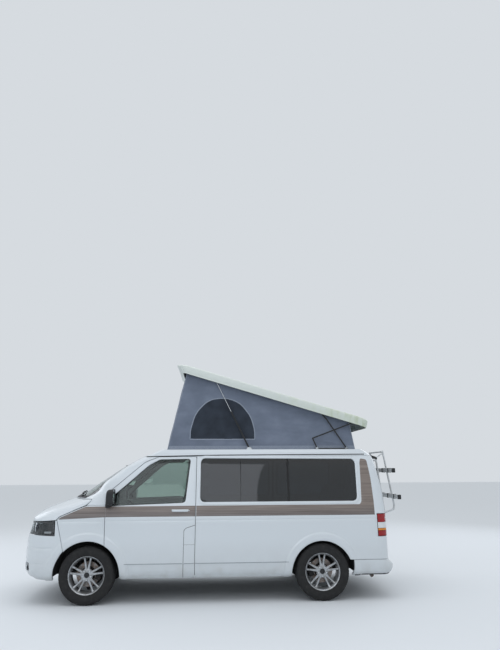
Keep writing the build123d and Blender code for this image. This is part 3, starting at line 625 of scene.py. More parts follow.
def white_enamel():
    """Sprayed white enamel under clear coat: an even gloss with faint ripple, and road film low down."""
    material, tree, shader = finish("white_enamel", "#D6DBDE", 0.32, IOR=1.5, Coat_Weight=0.6,
                                    Coat_Roughness=0.06)
    where = place_mm(tree)
    height = add(tree, "ShaderNodeSeparateXYZ", Vector=where).outputs["Z"]
    low = add(tree, "ShaderNodeMapRange", Value=height, From_Min=290.0, From_Max=760.0, To_Min=1.0,
              To_Max=0.0)
    patches = mottle(tree, where, 140, 5.0)
    film = add(tree, "ShaderNodeMath", {"operation": "MULTIPLY"}, _0=low.outputs["Result"],
               _1=patches).outputs[0]
    colour = ramp(tree, film, (0.0, "#D3D9DD"), (0.4, "#CDD2D5"), (0.8, "#BFC1C0"))
    tree.links.new(colour, shader.inputs["Base Color"])
    rough_between(tree, shader, film, 0.28, 0.5)
    bumped(tree, shader, mottle(tree, where, 9, 1.0), 0.02, 0.5)
    return material


def worn(name, colour, roughness, marks, stops, grain, **sockets):
    """A finish whose colour wanders over marks of a size and detail. Its grain has a size, detail, depth and
    strength, or only the last two where the marks themselves stand out."""
    material, tree, shader = finish(name, colour, roughness, **sockets)
    where = place_mm(tree)
    pattern = mottle(tree, where, *marks)
    tree.links.new(ramp(tree, pattern, *stops), shader.inputs["Base Color"])
    height = mottle(tree, where, *grain[:2]) if len(grain) == 4 else pattern
    bumped(tree, shader, height, *grain[-2:])
    return material


def wiped(name, colour, roughness, marks, low, high, **sockets):
    """A finish of one colour whose roughness wanders between two values, over marks of a size and detail."""
    material, tree, shader = finish(name, colour, roughness, **sockets)
    rough_between(tree, shader, mottle(tree, place_mm(tree), *marks), low, high)
    return material


def beaded(name, colour, roughness, grain, **sockets):
    """A finish of one colour with a fine grain of a size, detail, depth and strength."""
    material, tree, shader = finish(name, colour, roughness, **sockets)
    bumped(tree, shader, mottle(tree, place_mm(tree), *grain[:2]), *grain[2:])
    return material


def grained_plastic():
    """Injection-moulded polypropylene with an etched leather grain: mirrors, sill trims and the dashboard."""
    material, tree, shader = finish("grained_plastic", "#1B1C1E", 0.55, IOR=1.49)
    where = place_mm(tree)
    scaled = add(tree, "ShaderNodeVectorMath", {"operation": "SCALE"}, Vector=where, Scale=1 / 2.2).outputs[0]
    grain = add(tree, "ShaderNodeTexVoronoi", Vector=scaled, Scale=1.0).outputs["Distance"]
    colour = ramp(tree, mottle(tree, where, 60, 3.0), (0.3, "#18191B"), (0.75, "#242527"))
    tree.links.new(colour, shader.inputs["Base Color"])
    bumped(tree, shader, grain, 0.25, 0.6)
    return material


def stripe_film():
    """Printed vinyl film on the flank: taupe, with the fine lengthwise lines of a brushed-wood print, and
    painted light: lighter and warmer at its top, darker and cooler below.
    """
    material, tree, shader = finish("stripe_film", "#877D77", 0.38, IOR=1.5, Coat_Weight=0.3,
                                    Coat_Roughness=0.15)
    where = place_mm(tree)
    # the print's lines are about 1 mm apart, drawn 5 mm apart here so that they show
    lines = mottle(tree, where, 5, 4.0, (0.008, 0.05, 1.0))
    # painted light and shade: darker and cooler low on the film, lighter and warmer at its top
    height = add(tree, "ShaderNodeSeparateXYZ", Vector=where).outputs["Z"]
    rise = add(tree, "ShaderNodeMapRange", Value=height, From_Min=1010.0, From_Max=1170.0).outputs["Result"]
    base = ramp(tree, rise, (0.0, "#77716F"), (0.45, "#7F7672"), (1.0, "#8F837B"))
    streak = ramp(tree, lines, (0.35, "#B3ADA9"), (0.65, "#FFFFFF"))
    mixed = add(tree, "ShaderNodeMix", {"data_type": "RGBA", "blend_type": "MULTIPLY"}, _0=0.9, _6=base,
                _7=streak)
    tree.links.new(mixed.outputs[2], shader.inputs["Base Color"])
    bumped(tree, shader, lines, 0.05, 0.4)
    return material


def pop_top_shell():
    """Gel-coated glass-fibre lid of the pop-top: off-white, with a green bloom of algae towards its rear."""
    material, tree, shader = finish("pop_top_shell", "#D2D8D0", 0.42, IOR=1.5, Coat_Weight=0.25,
                                    Coat_Roughness=0.2)
    where = place_mm(tree)
    along = add(tree, "ShaderNodeSeparateXYZ", Vector=where).outputs["X"]
    rear = add(tree, "ShaderNodeMapRange", Value=along, From_Min=-2100.0, From_Max=-300.0, To_Min=0.72,
               To_Max=0.1)
    runs = mottle(tree, where, 60, 8.0, (1.0, 1.0, 0.35))
    stain = add(tree, "ShaderNodeMath", {"operation": "MULTIPLY"}, _0=rear.outputs["Result"],
                _1=runs).outputs[0]
    colour = ramp(tree, stain, (0.12, "#D3D9D3"), (0.3, "#CDD5C8"), (0.45, "#B9C3A9"), (0.62, "#98A583"))
    tree.links.new(colour, shader.inputs["Base Color"])
    rough_between(tree, shader, stain, 0.36, 0.7)
    bumped(tree, shader, mottle(tree, where, 14, 2.0), 0.05, 0.5)
    return material


def tent_cloth():
    """Coated polyester-cotton tent cloth: blue-grey plain weave with soft creases and damp marks."""
    material, tree, shader = finish("tent_cloth", "#6B7484", 0.85, IOR=1.45, Sheen_Weight=0.15)
    where = place_mm(tree)
    # threads are 0.5 mm apart, drawn 3 mm apart here so that the weave shows
    scaled = add(tree, "ShaderNodeVectorMath", {"operation": "SCALE"}, Vector=where, Scale=0.05).outputs[0]
    threads = {"Vector": scaled, "Scale": 2.0, "Distortion": 0.6, "Detail": 1.0}
    warp = add(tree, "ShaderNodeTexWave", {"bands_direction": "X"}, **threads)
    weft = add(tree, "ShaderNodeTexWave", {"bands_direction": "Z"}, **threads)
    weave = add(tree, "ShaderNodeMath", {"operation": "MULTIPLY"}, _0=warp.outputs["Fac"],
                _1=weft.outputs["Fac"])
    marks = mottle(tree, where, 260, 5.0, (1.0, 1.0, 1.6))
    colour = ramp(tree, marks, (0.25, "#636C7B"), (0.5, "#6D7686"), (0.75, "#788191"))
    tree.links.new(colour, shader.inputs["Base Color"])
    bumped(tree, shader, weave.outputs[0], 0.3, 0.4)
    return material


def window_mesh():
    """Fine black insect netting of the tent's window: dark, matt, with its square mesh."""
    material, tree, shader = finish("window_mesh", "#2A3039", 0.9, IOR=1.45)
    where = place_mm(tree)
    # the mesh is 1.2 mm, drawn at 4 mm here so that it shows
    scaled = add(tree, "ShaderNodeVectorMath", {"operation": "SCALE"}, Vector=where, Scale=0.25).outputs[0]
    knots = add(tree, "ShaderNodeTexChecker", Vector=scaled, Scale=1.0).outputs["Fac"]
    colour = ramp(tree, mottle(tree, where, 180, 3.0), (0.3, "#252B34"), (0.7, "#333A45"))
    tree.links.new(colour, shader.inputs["Base Color"])
    bumped(tree, shader, knots, 0.3, 0.5)
    return material


def cast_alloy():
    """Cast aluminium wheel, silver lacquered: bright metallic flake with brake dust in the corners."""
    material, tree, shader = finish("cast_alloy", "#B9BCC0", 0.32, Metallic=0.85, Coat_Weight=0.4,
                                    Coat_Roughness=0.12)
    where = place_mm(tree)
    dust = mottle(tree, where, 40, 4.0)
    colour = ramp(tree, dust, (0.35, "#B9BCC0"), (0.8, "#8A8985"))
    tree.links.new(colour, shader.inputs["Base Color"])
    rough_between(tree, shader, dust, 0.26, 0.5)
    bumped(tree, shader, mottle(tree, where, 1.5, 1.0), 0.03, 0.5)
    return material


def ribbed_optic(name, code):
    """Ribbed coloured lens of a lamp: a deep gloss with moulded squares."""
    material, tree, shader = finish(name, code, 0.24, IOR=1.5, Coat_Weight=0.25, Coat_Roughness=0.05)
    where = place_mm(tree)
    scaled = add(tree, "ShaderNodeVectorMath", {"operation": "SCALE"}, Vector=where, Scale=1 / 9).outputs[0]
    cells = add(tree, "ShaderNodeTexVoronoi", {"distance": "CHEBYCHEV"}, Vector=scaled, Scale=1.0,
                Randomness=0.0)
    bumped(tree, shader, cells.outputs["Distance"], 1.0, 0.7)
    return material


PAINT = white_enamel()
# Grey needle-felt and moulded trim inside the doors and walls: dull, with a fine pile
LINING = worn("inner_lining", "#8F9194", 0.9, (4, 4.0), ((0.3, "#83858A"), (0.7, "#9B9DA0")),
              (3, 3.0, 0.3, 0.6), IOR=1.45)
SHELL = [PAINT, LINING]
# Toughened green-tinted float glass of the doors and windscreen: clear, with a faint green body
CLEAR = wiped("drop_glass", "#B9CBC2", 0.02, (160, 4.0), 0.01, 0.06, IOR=1.52, Transmission_Weight=1.0)
# Body-tinted privacy glass of the living space: nearly black from outside, with a hard mirror gloss
DARK_GLASS = wiped("privacy_glass", "#3F484F", 0.02, (160, 4.0), 0.01, 0.05, IOR=1.52,
                   Transmission_Weight=1.0, Coat_Weight=0.5, Coat_Roughness=0.02)
# Extruded EPDM rubber of the door and glass seals: black, dull, with a bloom along the lips
RUBBER = worn("door_gap_rubber", "#141516", 0.78, (18, 3.0), ((0.35, "#101112"), (0.75, "#232425")),
              (2, 2.0, 0.1, 0.5), IOR=1.5)
TRIM = grained_plastic()
FILM = stripe_film()
LID = pop_top_shell()
CLOTH = tent_cloth()
NETTING = window_mesh()
# Vulcanised carbon-black rubber: nearly black, greyed by dust on the tread and in the grooves
TREAD = worn("tyre_tread", "#1A1A1B", 0.82, (35, 5.0), ((0.3, "#151516"), (0.6, "#1E1E1E"),
                                                        (0.85, "#302E2B")), (3, 3.0, 0.3, 0.5), IOR=1.52)
ALLOY = cast_alloy()
# Turned grey iron of the brake discs: bright rings where the pads wipe, rust at the hub
DISC = worn("turned_iron", "#8D8D8C", 0.4, (22, 5.0), ((0.35, "#8F8F8E"), (0.7, "#7A6253")),
            (2, 2.0, 0.1, 0.4), Metallic=0.9)
# Sand-cast iron of the hubs, arms and engine: dark and grainy, with rust blooms
IRON = worn("cast_iron", "#3B3A3A", 0.7, (45, 6.0), ((0.3, "#333334"), (0.62, "#3F3D3C"), (0.8, "#5B4438")),
            (4, 4.0, 0.5, 0.6), Metallic=0.6)
# Sprayed wax underseal on the floor and wheel houses: dark grey, orange-peeled and dusty
UNDERSEAL = worn("underseal", "#2B2C2E", 0.75, (120, 5.0), ((0.3, "#242527"), (0.75, "#3A3835")),
                 (8, 3.0, 0.8, 0.6), IOR=1.5)
# Rolled and welded exhaust steel: dull grey with brown heat tint
PIPE_STEEL = worn("pipe_steel", "#6A6460", 0.5, (70, 5.0), ((0.3, "#77726E"), (0.7, "#5C4B41")),
                  (5, 3.0, 0.2, 0.5), Metallic=0.85)
# Powder-coated steel of the pop-top's linkage: satin black, worn a little at its edges
BLACK_COAT = worn("black_coat", "#121315", 0.42, (25, 4.0), ((0.4, "#111214"), (0.8, "#1F2022")),
                  (3, 2.0, 0.08, 0.5), IOR=1.5, Coat_Weight=0.2, Coat_Roughness=0.3)
# Powder-coated aluminium tube of the bicycle carrier: soft white gloss with faint grain
WHITE_COAT = worn("white_coat", "#D4D7D9", 0.38, (60, 4.0), ((0.35, "#D6D9DB"), (0.8, "#BFC0BE")),
                  (3, 2.0, 0.06, 0.5), IOR=1.5)
# Ground and hard-chromed steel of rods, bolts and lock parts: a bright mirror with fine draw lines
STEEL = wiped("ground_steel", "#C9CBCD", 0.2, (4, 3.0, (0.1, 1.0, 1.0)), 0.14, 0.32, Metallic=1.0)
# Aluminium vapour-coated plastic of the lamp reflectors: a soft bright mirror
CHROME = wiped("vacuum_chrome", "#B4B8BC", 0.12, (30, 3.0), 0.08, 0.22, Metallic=1.0)
# Moulded polycarbonate lamp cover: glassy and clear in the mass
LAMP_COVER = wiped("lamp_cover", "#F2F5F6", 0.04, (25, 2.0), 0.04, 0.09, IOR=1.58, Transmission_Weight=1.0)
RED = ribbed_optic("tail_red", "#93060E")
AMBER = ribbed_optic("tail_amber", "#D8862A")
CLEAR_OPTIC = ribbed_optic("clear_optic", "#DADCDD")
# Woven seat cloth: mid grey flat-weave with a fine rib, dull and soft
SEAT_CLOTH = worn("seat_cloth", "#4A4D53", 0.92, (4, 2.0, (1.0, 1.0, 0.2)),
                  ((0.35, "#3E4147"), (0.65, "#575A61")), (0.5, 0.7), IOR=1.45, Sheen_Weight=0.3)
# Melamine-faced cupboard board: light grey-beige with a faint wood figure
BOARD = worn("cupboard_board", "#A8A29A", 0.5, (14, 5.0, (0.06, 1.0, 1.0)),
             ((0.3, "#9D978F"), (0.7, "#B3ADA5")), (0.05, 0.4), IOR=1.5)
# Pressed aluminium plate with a bare white reflective film: soft satin with a fine bead
PLATE = beaded("number_plate", "#D9DAD6", 0.4, (3, 1.0, 0.05, 0.5), IOR=1.5)
# Silvered mirror glass: a clean cold mirror
MIRROR_GLASS = wiped("silvered_glass", "#C4CACE", 0.03, (60, 3.0), 0.02, 0.07, Metallic=1.0)
# Painted shade: a grey strip stands for the shadow line in the step above the sill
STEP_SHADE = beaded("step_shade", "#6F7980", 0.6, (6, 2.0, 0.05, 0.4), IOR=1.5)
# Unpolished glass-fibre inside the lid: pale grey, with the mat's fibres showing
LID_INSIDE = worn("lid_inside", "#9FA3A2", 0.75, (18, 5.0, (1.0, 0.3, 1.0)),
                  ((0.35, "#8F9392"), (0.7, "#ABAFAD")), (0.4, 0.6), IOR=1.5)
# Folded and double-stitched hem of the tent: a shade lighter, with its stitch line
SEAM = worn("seam_cloth", "#8A92A0", 0.85, (6, 2.0), ((0.35, "#7F8795"), (0.7, "#959DAA")), (0.3, 0.5),
            IOR=1.45)

# Ways to make the plain pieces, all in millimetres
# Where a piece's own two flat directions and its height lie, for each way that it stands
AXES = {"x": (1, 2, 0), "y": (0, 2, 1), "z": (0, 1, 2)}
STANDS = {"side": AXES["y"], "end": AXES["x"], "plan": AXES["z"]}


def oblong(x0, x1, z0, z1, radius=0):
    """An oblong's outline, with its corners rounded."""
    return [(x0, z0, radius), (x0, z1, radius), (x1, z1, radius), (x1, z0, radius)]


def prism_faces(count):
    """Two end faces and the sides between two loops of points."""
    ends = [tuple(range(count)), tuple(range(2 * count - 1, count - 1, -1))]
    return ends + [(i, (i + 1) % count, count + (i + 1) % count, count + i) for i in range(count)]


def ring_faces(rounds, count, shut=False, wrap=True):
    """Faces between rings. shut joins the last ring to the first, wrap a ring's last point to its first."""
    faces = []
    for k in range(rounds if shut else rounds - 1):
        after = (k + 1) % rounds
        for i in range(count if wrap else count - 1):
            j = (i + 1) % count
            faces.append((k * count + i, k * count + j, after * count + j, after * count + i))
    return faces


def lofted(name, rings, materials):
    """A closed piece through rings of points, shut at both ends."""
    count = len(rings[0])
    faces = ring_faces(len(rings), count)
    faces += [tuple(range(count))[::-1], tuple(range((len(rings) - 1) * count, len(rings) * count))]
    return outward(new_object(name, np.vstack(rings), faces, materials))


def rounded(thing, width_mm, segments=2):
    """A piece with its edges rounded."""
    bevel = thing.modifiers.new("rounding", "BEVEL")
    bevel.width = width_mm * MM
    bevel.segments = segments
    bevel.limit_method = "ANGLE"
    bevel.angle_limit = math.radians(35)
    bevel.harden_normals = False
    return thing


def pressed(name, rows, view, low, high, materials, rounding):
    """A flat outline given thickness: side is x, z across y, end is y, z across x, plan is x, y across z."""
    # one long step keeps straight edges whole
    line = trace(rows, step=400)
    if loop_area(line) < 0:
        line = line[::-1]
    order = STANDS[view]
    count = len(line)
    points = np.zeros((2 * count, 3))
    for k, height in enumerate(sorted((low, high))):
        points[k * count:(k + 1) * count, order[0]] = line[:, 0]
        points[k * count:(k + 1) * count, order[1]] = line[:, 1]
        points[k * count:(k + 1) * count, order[2]] = height
    thing = outward(new_object(name, points, prism_faces(count), materials))
    return rounded(thing, rounding) if rounding else thing


def drawn(name, path, radius, material, count, flat=None):
    """A round bar or hose along points, or a flat one where flat gives its other half width."""
    path = np.asarray(path, float)
    tangents = np.gradient(path, axis=0)
    tangents /= np.linalg.norm(tangents, axis=1)[:, None]
    side = np.cross(tangents[0], [0, 0, 1])
    if np.linalg.norm(side) < 0.1:
        side = np.cross(tangents[0], [1, 0, 0])
    rings = []
    turns = np.linspace(0, 2 * math.pi, count, endpoint=False)
    for here, along in zip(path, tangents):
        side = side - along * float(side @ along)
        side /= np.linalg.norm(side)
        up = np.cross(along, side)
        tall = up * (flat or radius)
        rings.append([here + side * math.cos(t) * radius + tall * math.sin(t) for t in turns])
    return lofted(name, rings, material)


def turned(name, profile, centre, materials, count, axis="y"):
    """A turned piece from radius and height rows about a centre. Height runs along the axis."""
    points = []
    order = AXES[axis]
    for angle in np.linspace(0, 2 * math.pi, count, endpoint=False):
        for radius, height in profile:
            point = np.zeros(3)
            point[order[0]] = radius * math.cos(angle)
            point[order[1]] = radius * math.sin(angle)
            point[order[2]] = height
            points.append(point + np.asarray(centre, float))
    faces = ring_faces(count, len(profile), shut=True, wrap=False)
    return faced_out(new_object(name, points, faces, materials), merge=True)


def joined(name, things):
    """Several pieces made into one, with their modifiers applied."""
    graph = bpy.context.evaluated_depsgraph_get()
    whole = bmesh.new()
    materials = []
    for thing in things:
        mesh = bpy.data.meshes.new_from_object(thing.evaluated_get(graph))
        mesh.transform(thing.matrix_world)
        start = len(whole.faces)
        moved = []
        for material in mesh.materials:
            if material not in materials:
                materials.append(material)
            moved.append(materials.index(material))
        whole.from_mesh(mesh)
        whole.faces.ensure_lookup_table()
        for face in whole.faces[start:]:
            face.material_index = moved[face.material_index] if moved else 0
        bpy.data.meshes.remove(mesh)
    mesh = bpy.data.meshes.new(name)
    whole.to_mesh(mesh)
    whole.free()
    for material in materials:
        mesh.materials.append(material)
    for thing in things:
        bpy.data.objects.remove(thing)
    smoothed(mesh, SHARP_ANGLE)
    return linked(name, mesh)


def other_hand(thing, name):
    """The same piece on the van's right."""
    mesh = thing.data.copy()
    mesh.transform(Matrix.Scale(-1, 4, (0, 1, 0)))
    mesh.flip_normals()
    new = linked(name, mesh)
    for old in thing.modifiers:
        if old.type == "BEVEL":
            rounded(new, old.width / MM, old.segments)
    return new


def hexagons(name, places, axis, size, height, material):
    """Hexagon bolt heads with washers at several places, standing along an axis."""
    things = []
    order = AXES[axis]
    for k, (place, way) in enumerate(places):
        for turns, radius, low, high in ((20, size * 0.95, 0, height * 0.25),
                                         (6, size * 0.62, height * 0.25, height)):
            points = []
            for level in (low, high):
                for t in np.linspace(0, 2 * math.pi, turns, endpoint=False):
                    point = np.array(place, float)
                    point[order[0]] += radius * math.cos(t)
                    point[order[1]] += radius * math.sin(t)
                    point[order[2]] += level * way
                    points.append(point)
            things.append(outward(new_object(f"{name}_{k}", points, prism_faces(turns), material)))
    return joined(name, things)


# Outlines of the panels, side views as x, z, radius and end views as y, z, radius
FRONT_DOOR = [
    (1446, 288, 0), (1446, 720, 200), (1463, 1150, 200), (1466, 1315, 40),
    (985, 1724, 150), (810, 1793, 80), (300, 1793, 25), (300, 288, 0),
]
DOOR_WINDOW = [
    (1436, 1172, 12), (1436, 1250, 12), (1209, 1441, 900), (931, 1687, 300),
    (790, 1760, 90), (378, 1766, 30), (436, 1205, 45),
]


def grown(rows, amount):
    """The same outline with every edge moved outwards."""
    count = len(rows)
    area = sum(a[0] * b[1] - b[0] * a[1] for a, b in zip(rows, rows[1:] + rows[:1]))
    side = 1 if area > 0 else -1
    lines = []
    for i in range(count):
        (x0, y0), (x1, y1) = rows[i][:2], rows[(i + 1) % count][:2]
        span = math.hypot(x1 - x0, y1 - y0)
        nx, ny = side * (y1 - y0) / span, -side * (x1 - x0) / span
        lines.append((nx, ny, nx * x0 + ny * y0 + amount))
    out = []
    for i in range(count):
        a1, b1, c1 = lines[i - 1]
        a2, b2, c2 = lines[i]
        det = a1 * b2 - a2 * b1
        out.append(((c1 * b2 - c2 * b1) / det, (a1 * c2 - a2 * c1) / det,
                    max(rows[i][2] + amount, 0) if rows[i][2] else 0))
    return out


def minus_arch(line, arch):
    """A closed side outline with a wheel arch's circle cut out of it."""
    centre, radius = np.array(arch[:2], float), arch[2]
    inside = np.hypot(*(line - centre).T) < radius
    if not inside.any():
        return line
    first = next(i for i in range(len(line)) if inside[i] and not inside[i - 1])
    line, inside = np.roll(line, -first, axis=0), np.roll(inside, -first)
    count = next((i for i in range(len(line)) if not inside[i]), len(line))

    def crossing(a, b):
        """Where the line from outside to inside meets the circle."""
        low, high = 0.0, 1.0
        for _ in range(40):
            middle = (low + high) / 2
            if np.hypot(*(a + (b - a) * middle - centre)) < radius:
                high = middle
            else:
                low = middle
        return a + (b - a) * high

    enter, leave = crossing(line[-1], line[0]), crossing(line[count], line[count - 1])
    a0, a1 = (math.atan2(*(p - centre)[::-1]) for p in (enter, leave))
    for sweep in ((a1 - a0) % (2 * math.pi), (a1 - a0) % (2 * math.pi) - 2 * math.pi):
        turns = a0 + sweep * np.linspace(0, 1, max(6, int(abs(sweep) * radius / 16)))
        arc = centre + radius * np.column_stack([np.cos(turns), np.sin(turns)])
        middle = arc[len(arc) // 2][None]
        if is_inside(middle, line)[0]:
            break
    return np.vstack([arc, line[count:]])


def sides():
    """The sign of y and the name of each side."""
    yield 1, "left"
    yield -1, "right"


def flipped(chart, sign):
    """A chart for the left turned into one for the right where sign is -1."""
    return chart if sign > 0 else chart * np.array([-1.0, 1.0])


def side_chart(rows, sign=1, amount=None, arch=None):
    """The chart of a side's outline, moved outwards by an amount and cut by a wheel arch."""
    line = trace(rows if amount is None else grown(rows, amount))
    return flipped(on_side(line if arch is None else minus_arch(line, arch)), sign)


def nose_chart(rows, amount=None):
    """The chart of an outline on the front end."""
    return tidy_loop(on_end(trace(rows if amount is None else grown(rows, amount)), False))


def ride_for(thing, body="body", node=None):
    """A piece that moves with a body and stands for a node, whose solid it hides."""
    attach(thing, body)
    if node:
        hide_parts(node)
    return thing


def level_run(from_share, to_share, z, count):
    """A run along one waterline, without its first point."""
    return np.column_stack([np.linspace(from_share, to_share, count)[1:], np.full(count - 1, float(z))])


# Front doors
for sign, name in sides():
    door = skin_panel(f"door_{name}_panel", side_chart(FRONT_DOOR, sign, -HALF_GAP, FRONT_ARCH), SHELL,
                      [side_chart(DOOR_WINDOW, sign, 0)], depth=34)
    ride_for(door, f"door_{name}", f"door_{name}")

# Body sides, sliding door on the right, with the long rear windows
LEFT_WINDOW = [(244, 1211, 55), (244, 1772, 55), (-1857, 1758, 60), (-1846, 1211, 60)]
SLIDING_DOOR = [(240, 308, 25), (240, 1785, 30), (-900, 1785, 30), (-900, 308, 25)]
SLIDING_WINDOW = [(190, 1211, 55), (190, 1770, 55), (-850, 1765, 55), (-850, 1211, 55)]
QUARTER_WINDOW = [(-955, 1211, 55), (-955, 1764, 55), (-1857, 1758, 60), (-1846, 1211, 60)]
TAILGATE = [(775, 527, 60), (778, 1060, 400), (722, 1797, 90), (-722, 1797, 90), (-778, 1060, 400),
            (-775, 527, 60)]
REAR_WINDOW = [(655, 1215, 80), (615, 1752, 80), (-615, 1752, 80), (-655, 1215, 80)]
WINDSCREEN = [(806, 1276, 60), (706, 1768, 70), (-706, 1768, 70), (-806, 1276, 60)]
LAMP_LOW, LAMP_HIGH, LAMP_FRONT_X = 769, 1050, -2092


def tail_edge(low_z, high_z, gap):
    """The left rear edge of the body's side, along the tailgate's outline, from low to high."""
    line = trace(grown(TAILGATE, gap), step=8)
    line = line[(line[:, 0] > 600) & (line[:, 1] >= low_z) & (line[:, 1] <= high_z)]
    line = line[np.argsort(line[:, 1])]
    line = np.vstack([[line[0, 0], low_z], line, [line[-1, 0], high_z]])
    return on_end(line, True)


def left_side_loop():
    """The left side of the body, round the arch, over the bumper's end and round the tail lamp."""
    top, front, bottom, over_bumper = SPLIT_Z - 2, 297, SILL_Z, BUMPER_TOP_Z + 3
    centre, radius = np.array(REAR_ARCH[:2], float), REAR_ARCH[2]
    foot = np.array([centre[0] + math.sqrt(radius ** 2 - (bottom - centre[1]) ** 2), bottom])
    back = np.array([centre[0] - math.sqrt(radius ** 2 - (over_bumper - centre[1]) ** 2), over_bumper])
    start = trace([(front, bottom), tuple(foot)], closed=False)
    low = on_side(np.vstack([start, arc_points(foot, back, centre, 70)[1:]]))
    under = tail_edge(over_bumper, LAMP_LOW - 3, HALF_GAP)
    over = tail_edge(LAMP_HIGH + 3, top - 40, HALF_GAP)
    bumper_run = level_run(low[-1, 0], under[0, 0], over_bumper, 40)[:-1]
    lamp_front = [share_from(LAMP_FRONT_X + 3, z, 0) for z in (LAMP_LOW - 3, LAMP_HIGH + 3)]
    lamp_under = level_run(under[-1, 0], lamp_front[0], LAMP_LOW - 3, 14)
    lamp_run = trace([(LAMP_FRONT_X + 3, LAMP_LOW - 3), (LAMP_FRONT_X + 3, LAMP_HIGH + 3)], closed=False)[1:]
    lamp_over = level_run(lamp_front[1], over[0, 0], LAMP_HIGH + 3, 14)[:-1]
    tail_top = on_end(np.array([[742, top - 26], [720, top - 10], [690, top]]), True)
    top_run = level_run(tail_top[-1, 0], share_from(front, top, 0), top, 150)
    down = trace([(front, top), (front, bottom)], closed=False)[1:-1]
    return tidy_loop(np.vstack([low, bumper_run, under, lamp_under, on_side(lamp_run), lamp_over, over,
                                tail_top, top_run, on_side(down)]))


side_loop = left_side_loop()
left_side = skin_panel("side_left_panel", side_loop, SHELL, [side_chart(LEFT_WINDOW)])
ride_for(left_side, "body", "side_left")
right_holes = [side_chart(SLIDING_DOOR, -1, HALF_GAP), side_chart(QUARTER_WINDOW, -1)]
right_side = skin_panel("side_right_panel", flipped(side_loop, -1), SHELL, right_holes)
ride_for(right_side, "body", "side_right")
slide = skin_panel("sliding_door_panel", side_chart(SLIDING_DOOR, -1, -HALF_GAP, REAR_ARCH), SHELL,
                   [side_chart(SLIDING_WINDOW, -1)])
ride_for(slide, "body", "sliding_door")

# Tailgate
def tail_chart(rows, amount=None):
    """An end outline at the tail as shares from below 1 on the left to above 1 on the right."""
    chart = on_end(trace(rows if amount is None else grown(rows, amount)), True)
    chart[:, 0] = np.where(chart[:, 0] < 0, 2 + chart[:, 0], chart[:, 0])
    return tidy_loop(chart)


gate = skin_panel("tailgate_panel", tail_chart(TAILGATE, -HALF_GAP), SHELL, [tail_chart(REAR_WINDOW)])
ride_for(gate, "tailgate", "tailgate")

# Bonnet, wings, bumper and the cab's frame
BONNET_LOW = [
    (2700, 995), (2350, 992), (2081, 1010), (2062, 1017, 15), (2036, 1051, 40), (1812, 1147, 200),
    (1703, 1191, 80), (1648, 1256),
]
CAB_LOW = [(1641, 1263), (1641, 1252), (1697, 1186), (1469, 1186)]
WING = [
    (1449, 288, 0), (1449, 720, 200), (1466, 1150, 0), (1466, 1183, 0), (1692, 1183, 0),
    (1808, 1139, 200), (2030, 1045, 40), (2055, 1010, 15), (1952, 640, 0), (1952, 288, 0),
]


def nose_chain(rows):
    """Part of a side outline ahead of the doors, cut off at the nose's middle."""
    return on_side(trace(rows, closed=False))


low_chain = nose_chain(BONNET_LOW)
bonnet_chain = np.vstack([low_chain, level_run(low_chain[-1, 0], 0, 1256, 60)])
bonnet = skin_panel("bonnet_panel", across(bonnet_chain), SHELL, depth=30, stretched=True, spacing=34)
ride_for(bonnet, "bonnet", "bonnet")

door_line = trace(grown(FRONT_DOOR, HALF_GAP))
upper_front = door_line[(door_line[:, 1] > 1186) & (door_line[:, 0] > 303)]
upper_front = upper_front[np.argsort(-upper_front[:, 0] + upper_front[:, 1] * 0.2)]
foot = nose_chain(CAB_LOW)
cab_chain = np.vstack([level_run(-0.001, foot[0, 0], 1263, 60), foot[1:], on_side(upper_front),
                       on_side(np.array([[297, 1796], [297, 1799]]))])
cab_chain[0, 0] = 0.0
roof_run = level_run(cab_chain[-1, 0], 0, 1799, 120)
cab = skin_panel("cab_frame_panel", across(np.vstack([cab_chain, roof_run])), SHELL, [nose_chart(WINDSCREEN)],
                 depth=34, stretched=True, spacing=34)
ride_for(cab, "body", "cab_frame")

for sign, name in sides():
    wing = skin_panel(f"wing_{name}", side_chart(WING, sign, None, FRONT_ARCH), SHELL, depth=26)
    ride_for(wing, "body", "front_wings")

# Front bumper in one piece with the nose, and the rear bumper that wraps the tail
def both_ends(rows):
    """An end outline's rows mirrored to the right."""
    return rows + [(-y, *rest) for y, *rest in reversed(rows)]


HEADLAMP_Y = 558


def bumper_chain():
    """The left half of the nose's edge, from the bonnet round the headlamp and the arch down to the sill."""
    inner_share = share_from(HEADLAMP_Y, 989, 1)
    top = level_run(0, inner_share, 989, 30)
    down = np.array([(share_from(HEADLAMP_Y, z, 1), z) for z in np.arange(983, 836, -8)])
    low_front = share_from(2455, 836, 0)
    low = level_run(down[-1, 0], low_front, 836, 14)
    rest = on_side(trace([(2455, 836), (2070, 817), (2076, 1004), (2061, 1006, 4), (1957, 642)],
                         closed=False))
    arc_start = math.atan2(642 - FRONT_ARCH[1], 1957 - FRONT_ARCH[0])
    radius = math.hypot(642 - FRONT_ARCH[1], 1957 - FRONT_ARCH[0])
    turns = np.linspace(arc_start, -0.108, 34)
    reach = radius + (FRONT_ARCH[2] - radius) * ease(arc_start - turns, 0, 0.3)
    ring = np.column_stack([FRONT_ARCH[0] + reach * np.cos(turns),
                            FRONT_ARCH[1] + FRONT_ARCH[2] * np.sin(turns)])
    ring[:, 1] = np.maximum(ring[:, 1], SILL_Z)
    foot = on_side(ring[1:])
    run = level_run(foot[-1, 0], 0, SILL_Z, 90)
    return np.vstack([[[0.0, 989.0]], top, down, low, rest[1:], foot, run[:-1], [[0.0, SILL_Z]]])


GRILLE = both_ends([(530, 852, 20), (530, 972, 20)])
INTAKE = both_ends([(520, 430, 30), (560, 590, 30)])
FOG_HOLE = [(836, 402, 18), (706, 402, 18), (698, 492, 18), (828, 492, 18)]
holes = [nose_chart(rows) for rows in (GRILLE, INTAKE)]
holes += [nose_chart([(y * sign, z, r) for y, z, r in FOG_HOLE]) for sign in (1, -1)]
nose = skin_panel("nose_bumper", across(bumper_chain()), [PAINT, TRIM], holes, depth=30, spacing=30)
ride_for(nose, "body", "front_bumper")


